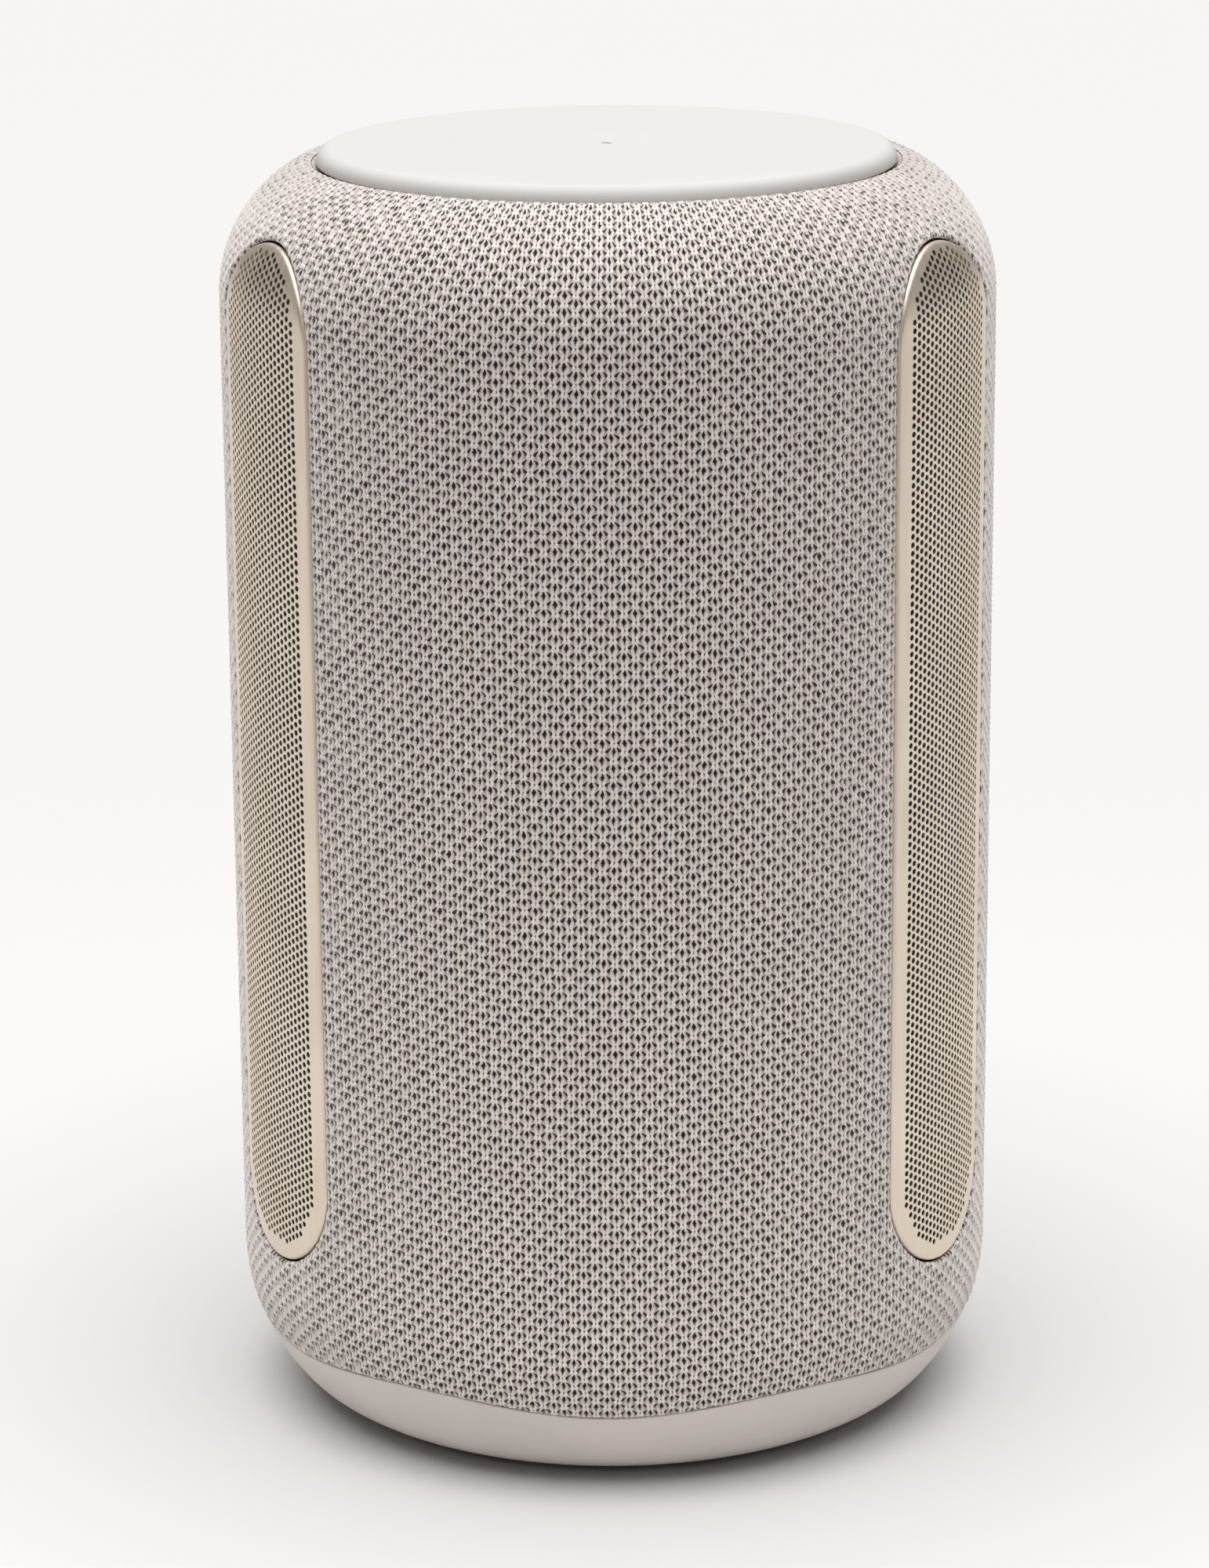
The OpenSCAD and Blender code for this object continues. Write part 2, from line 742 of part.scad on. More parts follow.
module woofer_dust_cap() {
    cap_r = coil_r + 3;
    sphere_r = 16;
    seat_z = cone_neck_z + (cone_lip_z - cone_neck_z) * (cap_r - coil_r - 0.4) / (cone_out_r - coil_r - 3) + cone_t;
    color(DARK) rotate_extrude($fn = 64) difference() {
        translate([0, seat_z - sqrt(pow(sphere_r, 2) - pow(cap_r, 2))]) circle(sphere_r, $fn = 96);
        translate([0, seat_z - sqrt(pow(sphere_r, 2) - pow(cap_r, 2))]) circle(sphere_r - 0.6, $fn = 96);
        translate([-60, seat_z - 60]) square([120, 60.2]);
        translate([-60, seat_z - 60]) square([60, 120]);
    }
}

module voice_coil() {
    z0 = washer_top_z - washer_t - 3;
    color(BRASS) rotate_extrude($fn = 64) {
        translate([coil_r - former_t, z0]) square([former_t, cone_neck_z + 1.5 - z0]);
        translate([coil_r - 0.01, z0 + 0.5]) square([winding_t, 10]);
    }
}

module woofer_washer() {
    color(STEEL) rotate_extrude($fn = 96)
        translate([washer_hole_r, washer_top_z - washer_t]) square([magnet_r - 2 - washer_hole_r, washer_t]);
}

module woofer_magnet() {
    color([0.25, 0.25, 0.27]) rotate_extrude($fn = 96)
        translate([washer_hole_r + 3, washer_top_z - washer_t - magnet_t]) square([magnet_r - washer_hole_r - 3, magnet_t]);
}

module woofer_yoke() {
    z0 = washer_top_z - washer_t - magnet_t - yoke_t;
    color(STEEL) rotate_extrude($fn = 96) {
        translate([3, z0]) square([magnet_r - 2 - 3, yoke_t]);
        translate([3, z0]) square([pole_r - 3, washer_top_z - z0]);
    }
}

// ---- tweeters ----

module tweeter_pod() {
    difference() {
        translate([-pod_half_w, -pod_face_r, baffle_top_z]) cube([2 * pod_half_w, pod_d, 2 * pod_half_w]);
        spoke(dome_r + run, pod_mid_z, pod_face_r - pod_d + 6.3, pod_face_r + 1);
        spoke(dome_r - 1, pod_mid_z, pod_face_r - pod_d - 1, pod_face_r + 1);
        for (sx = [-1, 1], sz = [-1, 1]) {
            translate([sx * (pod_half_w - 2.2), 0, sz * (pod_half_w - 2.2)])
                spoke(small_screw_r + 0.05, pod_mid_z, pod_face_r - pod_d - 1, pod_face_r + 1);
        }
    }
}

module tweeter_dome() {
    dome_h = 3;
    dome_sphere = (pow(dome_r, 2) + pow(dome_h, 2)) / (2 * dome_h);
    translate([0, -(pod_face_r - pod_d + 6.9), pod_mid_z]) rotate([90, 0, 0]) rotate_extrude($fn = 64) {
        difference() {
            translate([0, dome_h - dome_sphere]) circle(dome_sphere, $fn = 96);
            translate([0, dome_h - dome_sphere]) circle(dome_sphere - 0.4, $fn = 96);
            translate([-60, -60]) square([120, 60]);
            translate([-60, -1]) square([60, 60]);
        }
    }
}

module tweeter_magnet() {
    color(STEEL) spoke(dome_r - 1 - 0.1, pod_mid_z, pod_face_r - pod_d - 1.5, pod_face_r - pod_d + 5);
}

module tweeter_pod_left() {
    color(DARK) at_azimuth(-grille_az) tweeter_pod();
}

module tweeter_pod_right() {
    color(DARK) at_azimuth(grille_az) tweeter_pod();
}

module tweeter_dome_left() {
    color(GREY) at_azimuth(-grille_az) tweeter_dome();
}

module tweeter_dome_right() {
    color(GREY) at_azimuth(grille_az) tweeter_dome();
}

module tweeter_magnet_left() {
    at_azimuth(-grille_az) tweeter_magnet();
}

module tweeter_magnet_right() {
    at_azimuth(grille_az) tweeter_magnet();
}

// ---- passive radiators ----

module radiator_holes(far, depth) {
    for (a = radiator_screw_az) {
        translate([radiator_screw_r * cos(a), 0, radiator_screw_r * sin(a)])
            spoke(small_screw_r + 0.05, radiator_z, far - depth, far + 0.01);
    }
}

module radiator_frame() {
    difference() {
        spoke(radiator_r, radiator_z, flat_r, flat_r + radiator_flange_t);
        spoke(radiator_hole_r, radiator_z, flat_r - 1, flat_r + radiator_flange_t + 1);
        radiator_holes(flat_r + radiator_flange_t, radiator_flange_t + 1);
    }
}

module radiator_surround() {
    crown_r = plate_r + radiator_roll_r;
    translate([0, -(flat_r + radiator_flange_t), radiator_z]) rotate([90, 0, 0]) rotate_extrude($fn = 96) {
        difference() {
            translate([crown_r, 0]) circle(radiator_roll_r, $fn = 48);
            translate([crown_r, 0]) circle(radiator_roll_r - 0.6, $fn = 48);
            translate([0, -20]) square([40, 20]);
        }
        translate([crown_r + radiator_roll_r - 0.6, 0]) square([1.7, 0.6]);
        translate([plate_r - 1.8, 0]) square([2.4, 0.6]);
    }
}

module radiator_plate() {
    far = flat_r + radiator_flange_t;
    difference() {
        spoke(plate_r, radiator_z, far - 1.6, far);
        spoke(plate_r - 4, radiator_z, far - 0.5, far + 1);
    }
    spoke(plate_r - 5, radiator_z, far - 5, far - 1.5);
}

module radiator_frame_left() {
    color(DARK) at_azimuth(-grille_az) radiator_frame();
}

module radiator_frame_right() {
    color(DARK) at_azimuth(grille_az) radiator_frame();
}

module radiator_surround_left() {
    color(DARK) at_azimuth(-grille_az) radiator_surround();
}

module radiator_surround_right() {
    color(DARK) at_azimuth(grille_az) radiator_surround();
}

module radiator_plate_left() {
    color(STEEL) at_azimuth(-grille_az) radiator_plate();
}

module radiator_plate_right() {
    color(STEEL) at_azimuth(grille_az) radiator_plate();
}

// ---- base ----

module base_shell() {
    color(GREY) difference() {
        union() {
            rotate_extrude($fn = 180) difference() {
                body_half(0.3);
                intersection() {
                    body_half(0.3 + base_t);
                    translate([0, floor_top_z]) square([body_r, body_h]);
                }
                square([recess_r, floor_z0]);
                translate([0, frame_z0]) square([body_r, body_h]);
            }
            around([45, 135, 225, 315], cover_screw_r) translate([0, 0, floor_z0])
                cylinder(r = 3.4, h = 6.5, $fn = 32);
        }
        translate([0, 0, floor_z0 - 1]) cylinder(r = service_r - 0.2, h = base_t + 2, $fn = 96);
        around([45, 135, 225, 315], cover_screw_r) translate([0, 0, floor_z0 + 5]) screw_hole(8);
        for (sx = [-1, 1], sy = [-1, 1]) {
            translate([sx * main_post.x, sy * main_post.y, floor_top_z]) screw_hole(base_t + 1);
        }
    }
}

module base_cover() {
    z0 = floor_z0 - cover_t;
    color(DARK) difference() {
        union() {
            translate([0, 0, z0]) cylinder(r = cover_r, h = cover_t, $fn = 96);
            for (sx = [-1, 1], sy = [-1, 1]) {
                translate([sx * power_post.x, sy * power_post.y, floor_z0 - 0.5])
                    cylinder(r = 3, h = power_board_z - floor_z0 + 0.5, $fn = 32);
            }
        }
        around([45, 135, 225, 315], cover_screw_r) translate([0, 0, floor_z0]) screw_hole(cover_t + 1);
        around([45, 135, 225, 315], cover_screw_r) translate([0, 0, z0 - 1])
            cylinder(r = screw_head_r + 0.1, h = 2, $fn = 32);
        for (sx = [-1, 1], sy = [-1, 1]) {
            translate([sx * power_post.x, sy * power_post.y, power_board_z]) small_hole(6);
        }
    }
}

module foot_ring() {
    color(DARK) rotate_extrude($fn = 128) {
        translate([foot_in_r, 1]) square([foot_out_r - foot_in_r, floor_z0 - 1]);
        translate([foot_in_r + 1, 0]) square([foot_out_r - foot_in_r - 2, floor_z0]);
        translate([foot_in_r + 1, 1]) circle(1, $fn = 24);
        translate([foot_out_r - 1, 1]) circle(1, $fn = 24);
    }
}

// ---- rear panel ----

module rear_panel() {
    color(DARK) difference() {
        panel_prism(0, panel_face_y - panel_t, panel_face_y);
        translate([inlet_x - inlet_half_w - fit, panel_face_y - panel_t - 1, panel_z - inlet_half_h - fit])
            cube([2 * (inlet_half_w + fit), panel_t + 2, 2 * (inlet_half_h + fit)]);
        translate([jack_x, panel_face_y + 1, panel_z]) rotate([90, 0, 0])
            cylinder(r = jack_half - 0.5 + fit, h = panel_t + 2, $fn = 48);
        translate([switch_x - switch_half_w - run, panel_face_y - panel_t - 1, panel_z - switch_half_h - run])
            cube([2 * switch_half_w + switch_travel + 2 * run, panel_t + 2, 2 * (switch_half_h + run)]);
        translate([button_x, panel_face_y + 1, panel_z]) rotate([90, 0, 0])
            cylinder(r = button_r + run, h = panel_t + 2, $fn = 48);
    }
}

// Rim that clamps the edge of the knit around the rear panel.
module panel_bezel() {
    color(DARK) difference() {
        intersection() {
            rotate_extrude($fn = 180) body_half(0.2);
            panel_prism(0, panel_face_y, body_r + 1);
        }
        panel_prism(-panel_rim, panel_face_y - 1, body_r + 2);
    }
}

module mains_inlet() {
    face_y = panel_face_y + 0.6;
    color([0.2, 0.2, 0.21]) difference() {
        union() {
            translate([inlet_x - inlet_half_w, face_y - inlet_d, panel_z - inlet_half_h])
                cube([2 * inlet_half_w, inlet_d, 2 * inlet_half_h]);
            translate([inlet_x - inlet_half_w - 2, panel_face_y - panel_t - 2, panel_z - inlet_half_h - 1.5])
                cube([2 * inlet_half_w + 4, 2, 2 * inlet_half_h + 3]);
        }
        translate([inlet_x, face_y + 1, panel_z]) rotate([90, 0, 0]) linear_extrude(cavity_d + 1) {
            square([2 * pin_x, 2 * cavity_r], center = true);
            translate([-pin_x, 0]) circle(cavity_r, $fn = 48);
            translate([pin_x, 0]) circle(cavity_r, $fn = 48);
        }
        for (side = [-1, 1]) {
            translate([inlet_x + side * pin_x, face_y, panel_z]) rotate([90, 0, 0])
                cylinder(r = pin_r, h = inlet_d + 1, $fn = 32);
        }
    }
}

module inlet_pins() {
    color(STEEL) for (side = [-1, 1]) {
        translate([inlet_x + side * pin_x, panel_face_y + 0.6 - cavity_d + pin_l, panel_z]) rotate([90, 0, 0])
            cylinder(r = pin_r, h = pin_l + inlet_d - cavity_d + 4, $fn = 32);
    }
}

module audio_jack() {
    color(DARK) difference() {
        union() {
            translate([jack_x - jack_half, panel_face_y - panel_t - jack_l + 1, panel_z - jack_half])
                cube([2 * jack_half, jack_l - 1, 2 * jack_half]);
            translate([jack_x, panel_face_y, panel_z]) rotate([90, 0, 0])
                cylinder(r = jack_half - 0.5, h = panel_t + 0.5, $fn = 48);
        }
        translate([jack_x, panel_face_y + 0.01, panel_z]) rotate([90, 0, 0])
            cylinder(r = jack_r, h = jack_l + 0.01, $fn = 48);
    }
}

module mute_switch() {
    color(PALE) {
        translate([switch_x - switch_half_w, panel_face_y - panel_t, panel_z - switch_half_h])
            cube([2 * switch_half_w, panel_t + 1.6, 2 * switch_half_h]);
        translate([switch_x - switch_half_w - 1, panel_face_y - panel_t - 1.6, panel_z - switch_half_h - 1])
            cube([2 * switch_half_w + 2, 1.2, 2 * switch_half_h + 2]);
        translate([switch_x - switch_half_w + 1, panel_face_y - panel_t - 0.5, panel_z - switch_half_h])
            cube([2 * switch_half_w - 2, 1, 2 * switch_half_h]);
    }
}

module pairing_button() {
    color(PALE) {
        translate([button_x, panel_face_y + 1, panel_z]) rotate([90, 0, 0])
            cylinder(r = button_r, h = panel_t + 2.5, $fn = 48);
        translate([button_x, panel_face_y - panel_t - run, panel_z]) rotate([90, 0, 0])
            cylinder(r = button_r + 1, h = 1, $fn = 48);
    }
}

// ---- electronics ----

module power_board() {
    color(BOARD) difference() {
        translate([-power_board_x / 2, -power_board_y / 2, power_board_z]) cube([power_board_x, power_board_y, board_t]);
        for (sx = [-1, 1], sy = [-1, 1]) {
            translate([sx * power_post.x, sy * power_post.y, power_board_z + board_t]) small_hole(board_t + 1);
        }
    }
}

module power_parts() {
    z = power_board_z + board_t;
    color([0.75, 0.66, 0.30]) translate([-12, -12, z]) cube([25, 22, 19]);
    color(DARK) translate([-25, -8, z]) cylinder(r = 8, h = 22, $fn = 48);
    color(DARK) translate([-25, 9.5, z]) cylinder(r = 5, h = 18, $fn = 48);
    color(DARK) translate([26, -12, z]) cylinder(r = 5, h = 20, $fn = 48);
    color(STEEL) translate([19, 2, z]) cube([14, 8, 18]);
    color([0.8, 0.35, 0.2]) translate([-6, 16, z]) cube([16, 8, 10]);
}

module board_standoffs() {
    color(BRASS) for (sx = [-1, 1], sy = [-1, 1]) {
        translate([sx * main_post.x, sy * main_post.y, floor_top_z]) difference() {
            cylinder(r = 2.75, h = main_board_z - floor_top_z, $fn = 6);
            translate([0, 0, main_board_z - floor_top_z]) small_hole(6);
            translate([0, 0, 6]) screw_hole(7);
        }
    }
}

module main_board() {
    z = main_board_z + board_t;
    color(BOARD) difference() {
        translate([-main_board_x / 2, -main_board_y / 2, main_board_z]) cube([main_board_x, main_board_y, board_t]);
        for (sx = [-1, 1], sy = [-1, 1]) {
            translate([sx * main_post.x, sy * main_post.y, z]) small_hole(board_t + 1);
        }
    }
    color(STEEL) translate([8, 2, z]) cube([22, 18, 2.5]);
    color(DARK) translate([-34, 8, z]) cube([14, 14, 1.2]);
    color(PALE) translate([-6, 17, z]) cube([12, 5, 3]);
    color(PALE) translate([22, -17, z]) cube([12, 10, 4]);
}

module heat_sink() {
    z = main_board_z + board_t;
    color(STEEL) {
        translate([-32, -20, z]) cube([34, 22, 3]);
        for (k = [0 : 6]) {
            translate([-32 + k * 5.4, -20, z + 2.9]) cube([1.6, 22, 8]);
        }
    }
}

module ribbon_cable() {
    z = main_board_z + board_t + 3;
    color(GREY) translate([-ribbon_half_w, 0, 0]) {
        translate([0, ribbon_start_y, z]) cube([2 * ribbon_half_w, ribbon_t, ribbon_low_z - z]);
        translate([0, ribbon_start_y, ribbon_low_z - ribbon_t]) cube([2 * ribbon_half_w, ribbon_y + ribbon_t - ribbon_start_y, ribbon_t]);
        translate([0, ribbon_y, ribbon_low_z - ribbon_t]) cube([2 * ribbon_half_w, ribbon_t, ribbon_high_z - ribbon_low_z + ribbon_t]);
        translate([0, ribbon_in_y, ribbon_high_z - ribbon_t]) cube([2 * ribbon_half_w, ribbon_y + ribbon_t - ribbon_in_y, ribbon_t]);
        translate([0, ribbon_in_y, ribbon_high_z - ribbon_t])
            cube([2 * ribbon_half_w, ribbon_t, touch_z0 + board_t + ribbon_t - ribbon_high_z + ribbon_t]);
        translate([0, touch_r - 4, touch_z0 + board_t])
            cube([2 * ribbon_half_w, ribbon_in_y + ribbon_t - touch_r + 4, ribbon_t]);
    }
}

module terminal_block() {
    color(DARK) difference() {
        union() {
            translate([terminal_xy.x, terminal_xy.y, tub_z0 - 2]) cylinder(r = terminal_r, h = 2, $fn = 48);
            translate([terminal_xy.x, terminal_xy.y, tub_z0 - 1]) cylinder(r = terminal_r - 2.7, h = cabinet_t + 3, $fn = 48);
        }
        for (p = lead_xy) {
            translate([(p.x + terminal_xy.x) / 2, (p.y + terminal_xy.y) / 2, tub_z0 - 3])
                cylinder(r = lead_r + 0.05, h = 4, $fn = 24);
        }
    }
}

module speaker_leads() {
    z = main_board_z + board_t + 4;
    color(BROWN) for (p = lead_xy) {
        translate([(p.x + terminal_xy.x) / 2, (p.y + terminal_xy.y) / 2, z]) cylinder(r = lead_r, h = tub_z0 + 1 - z, $fn = 24);
    }
}

// ---- fasteners ----

module machine_screws() {
    color(STEEL) {
        around(ledge_screw_az, ledge_screw_r) translate([0, 0, baffle_top_z]) screw(7);
        around(tub_screw_az, tub_screw_r) translate([0, 0, baffle_top_z]) screw(8);
        around(pillar_az, pillar_at_r) translate([0, 0, deck_top_z - screw_head_h]) screw(7);
        around([45, 135, 225, 315], cover_screw_r) translate([0, 0, floor_z0 - cover_t + 1]) mirror([0, 0, 1]) screw(5.5);
    }
}

module driver_screws() {
    color(STEEL) {
        around([45, 135, 225, 315], woofer_screw_r) translate([0, 0, woofer_top_z]) small_screw(5);
        around(board_screw_az, board_screw_r) translate([0, 0, touch_z0 + board_t]) small_screw(5);
        for (side = [-1, 1], a = radiator_screw_az) {
            at_azimuth(side * grille_az) translate([radiator_screw_r * cos(a), 0, radiator_screw_r * sin(a)])
                translate([0, -(flat_r + radiator_flange_t), radiator_z]) rotate([90, 0, 0]) small_screw(4.5);
        }
        for (side = [-1, 1], sx = [-1, 1], sz = [-1, 1]) {
            at_azimuth(side * grille_az) translate([sx * (pod_half_w - 2.2), -pod_face_r, pod_mid_z + sz * (pod_half_w - 2.2)])
                rotate([90, 0, 0]) small_screw(6);
        }
        for (sx = [-1, 1], sy = [-1, 1]) {
            translate([sx * power_post.x, sy * power_post.y, power_board_z + board_t]) small_screw(5);
            translate([sx * main_post.x, sy * main_post.y, main_board_z + board_t]) small_screw(5);
        }
    }
}

top_plate();
top_ring();
light_pipe();
status_led();
touch_board();
microphones();
top_deck();
deck_pillars();
diffuser();
fabric_sleeve();
front_frame();
rear_frame();
grille_left();
grille_right();
grille_backing_left();
grille_backing_right();
cabinet_tub();
cabinet_gasket();
baffle_plate();
woofer_basket();
woofer_surround();
woofer_spider();
woofer_cone();
woofer_dust_cap();
voice_coil();
woofer_washer();
woofer_magnet();
woofer_yoke();
tweeter_pod_left();
tweeter_pod_right();
tweeter_dome_left();
tweeter_dome_right();
tweeter_magnet_left();
tweeter_magnet_right();
radiator_frame_left();
radiator_frame_right();
radiator_surround_left();
radiator_surround_right();
radiator_plate_left();
radiator_plate_right();
base_shell();
base_cover();
foot_ring();
rear_panel();
panel_bezel();
mains_inlet();
inlet_pins();
audio_jack();
mute_switch();
pairing_button();
power_board();
power_parts();
board_standoffs();
main_board();
heat_sink();
ribbon_cable();
terminal_block();
speaker_leads();
machine_screws();
driver_screws();
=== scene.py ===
import json
import math

import bpy
import numpy as np
from mathutils import Matrix, Vector
from mathutils.geometry import delaunay_2d_cdt


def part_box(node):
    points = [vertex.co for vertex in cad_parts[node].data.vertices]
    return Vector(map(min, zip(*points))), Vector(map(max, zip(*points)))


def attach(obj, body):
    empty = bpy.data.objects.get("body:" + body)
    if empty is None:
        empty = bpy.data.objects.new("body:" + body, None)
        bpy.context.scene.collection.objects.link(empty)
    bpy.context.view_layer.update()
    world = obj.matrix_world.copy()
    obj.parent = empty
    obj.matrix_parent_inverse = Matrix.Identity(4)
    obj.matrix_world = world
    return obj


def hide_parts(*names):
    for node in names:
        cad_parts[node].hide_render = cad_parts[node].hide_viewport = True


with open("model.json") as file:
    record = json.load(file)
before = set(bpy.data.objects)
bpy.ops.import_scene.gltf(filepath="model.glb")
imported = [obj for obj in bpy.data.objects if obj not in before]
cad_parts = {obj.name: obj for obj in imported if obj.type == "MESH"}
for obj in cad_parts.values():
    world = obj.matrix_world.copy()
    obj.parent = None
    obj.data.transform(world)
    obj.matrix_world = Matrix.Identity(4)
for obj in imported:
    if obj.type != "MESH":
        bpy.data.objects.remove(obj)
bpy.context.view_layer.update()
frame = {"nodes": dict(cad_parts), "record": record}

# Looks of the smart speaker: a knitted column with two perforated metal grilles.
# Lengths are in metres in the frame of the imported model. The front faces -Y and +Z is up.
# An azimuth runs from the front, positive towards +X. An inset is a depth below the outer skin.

MM = 0.001
TURN = 2 * math.pi

# ---- driving dimensions, from the frame where it holds them ----

SLEEVE_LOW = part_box("fabric_sleeve")[0]
PLATE_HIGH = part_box("top_plate")[1]
RING_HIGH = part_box("top_ring")[1]
PANEL_LOW, PANEL_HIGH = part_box("panel_bezel")

BODY_R = -SLEEVE_LOW.y
BODY_H = PLATE_HIGH.z
SHOULDER_R = 27.5 * MM
BASE_TURN = 22 * MM
BASE_RISE = 30 * MM
BASE_CURVE_R = 17.5 * MM
BASE_LIFT = 0.3 * MM
SKIN_INSET = 0.3 * MM
HEM_Z = SLEEVE_LOW.z
SHOULDER_Z = BODY_H - SHOULDER_R
WALL_Z = BASE_LIFT + BASE_RISE
PLATE_R = PLATE_HIGH.x
KNIT_TOP_R = RING_HIGH.x + 0.2 * MM
FLOOR_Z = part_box("foot_ring")[1].z
RECESS_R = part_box("foot_ring")[1].x + 1 * MM

GRILLE_AZ = math.radians(61)
GRILLE_HALF_W = 18.2 * MM
GRILLE_LOW, GRILLE_HIGH = (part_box("grille_right")[k].z for k in (0, 1))
GRILLE_GAP = 0.4 * MM
GRILLE_INSET = 0.2 * MM
GRILLE_T = 0.16 * MM
GRILLE_TOP_SHIFT = 2.1 * MM
GRILLE_RIM_INSET = 3.4 * MM
GRILLE_BORDER = 3.2 * MM
HOLE_R = 0.57 * MM
HOLE_PITCH = 1.59 * MM
HOLE_COLUMN = HOLE_PITCH * math.sin(math.radians(60))
GRILLE_REACH = (GRILLE_HIGH - GRILLE_LOW) / 2 - GRILLE_HALF_W
GRILLE_MID_Z = (GRILLE_HIGH + GRILLE_LOW) / 2

PANEL_HALF_W = PANEL_HIGH.x + 0.2 * MM
PANEL_HALF_H = (PANEL_HIGH.z - PANEL_LOW.z) / 2 + 0.2 * MM
PANEL_Z = (PANEL_HIGH.z + PANEL_LOW.z) / 2
PANEL_CORNER = 4.2 * MM

# The knit's stitches: columns run up the body, courses run round it.
COLUMNS = 224
COURSE = 1.6 * MM
COLUMN = TURN * BODY_R / COLUMNS
STITCH_U = 4
STITCH_V = 4

# ---- the body's skin ----

BASE_SIDE_R = (BASE_TURN**2 + BASE_RISE**2 - 2 * BASE_RISE * BASE_CURVE_R) / (2 * (BASE_TURN - BASE_CURVE_R))
MEET_ANGLE = -math.atan2(BASE_RISE - BASE_CURVE_R, BASE_SIDE_R - BASE_TURN)
HEM_ANGLE = math.asin((HEM_Z - WALL_Z) / BASE_SIDE_R)
MEET_S = (MEET_ANGLE - HEM_ANGLE) * BASE_SIDE_R
WALL_S = -HEM_ANGLE * BASE_SIDE_R
SHOULDER_S = WALL_S + SHOULDER_Z - WALL_Z
TOP_ANGLE = math.acos((KNIT_TOP_R - BODY_R + SHOULDER_R) / SHOULDER_R)
TOP_S = SHOULDER_S + TOP_ANGLE * SHOULDER_R


def profile(s):
    """Radius, height and outward slope of the skin at a distance s up from the hem."""
    parts = [s < MEET_S, s < WALL_S, s < SHOULDER_S]
    bend = np.select(parts, [BASE_CURVE_R, BASE_SIDE_R, 0.0], SHOULDER_R)
    mid_r = np.select(parts, [BODY_R - BASE_TURN, BODY_R - BASE_SIDE_R, BODY_R], BODY_R - SHOULDER_R)
    mid_z = np.select(parts, [BASE_LIFT + BASE_CURVE_R, WALL_Z, WALL_Z + s - WALL_S], SHOULDER_Z)
    low = MEET_ANGLE + (s - MEET_S) / BASE_CURVE_R
    angle = np.select(parts, [low, HEM_ANGLE + s / BASE_SIDE_R, 0 * s], (s - SHOULDER_S) / SHOULDER_R)
    return mid_r + bend * np.cos(angle), mid_z + bend * np.sin(angle), angle


def skin(azimuth, s, inset):
    """Points at an azimuth and a distance up the skin, moved in by inset."""
    r, z, angle = profile(s)
    r = r - inset * np.cos(angle)
    return np.stack([r * np.sin(azimuth), -r * np.cos(azimuth), z - inset * np.sin(angle)], -1)


def height_to_s(z):
    """Distance up the skin of a height on the wall or the shoulder."""
    over = np.arcsin(np.clip((z - SHOULDER_Z) / SHOULDER_R, 0, 1)) * SHOULDER_R
    return np.where(z > SHOULDER_Z, SHOULDER_S + over, WALL_S + z - WALL_Z)


# ---- meshes ----


def finish_piece(name, mesh, body, material, sharp=None):
    """A piece from a mesh, smooth but for edges sharper than sharp degrees."""
    mesh.polygons.foreach_set("use_smooth", np.ones(len(mesh.polygons), bool))
    if sharp is not None:
        mesh.set_sharp_from_angle(angle=math.radians(sharp))
    mesh.materials.append(material)
    mesh.update()
    piece = bpy.data.objects.new(name, mesh)
    bpy.context.scene.collection.objects.link(piece)
    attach(piece, body)
    return piece


def quad_mesh(name, points, quads):
    """A mesh from arrays, which is much quicker than lists for hundreds of thousands of faces."""
    mesh = bpy.data.meshes.new(name)
    mesh.vertices.add(len(points))
    mesh.vertices.foreach_set("co", points.astype(np.float32).ravel())
    mesh.loops.add(quads.size)
    mesh.loops.foreach_set("vertex_index", quads.astype(np.int32).ravel())
    mesh.polygons.add(len(quads))
    mesh.polygons.foreach_set("loop_start", np.arange(0, quads.size, 4, dtype=np.int32))
    mesh.update(calc_edges=True)
    return mesh


def lathe(name, outline, body, material, segments=256, sharp=25):
    """Turns an outline of (radius, height) points about the body's axis."""
    outline = np.array(outline)
    azimuth = np.arange(segments) * TURN / segments
    r, z = outline[:, 0][None], outline[:, 1][None]
    sine, cosine = np.sin(azimuth)[:, None], np.cos(azimuth)[:, None]
    ring = np.stack([r * sine, -r * cosine, z + 0 * sine], -1)
    i, j = np.meshgrid(np.arange(segments), np.arange(len(outline) - 1), indexing="ij")
    n = len(outline)
    a, b = i * n + j, (i + 1) % segments * n + j
    quads = np.stack([a, b, b + 1, a + 1], -1).reshape(-1, 4)
    return finish_piece(name, quad_mesh(name, ring.reshape(-1, 3), quads), body, material, sharp)


# ---- node materials ----


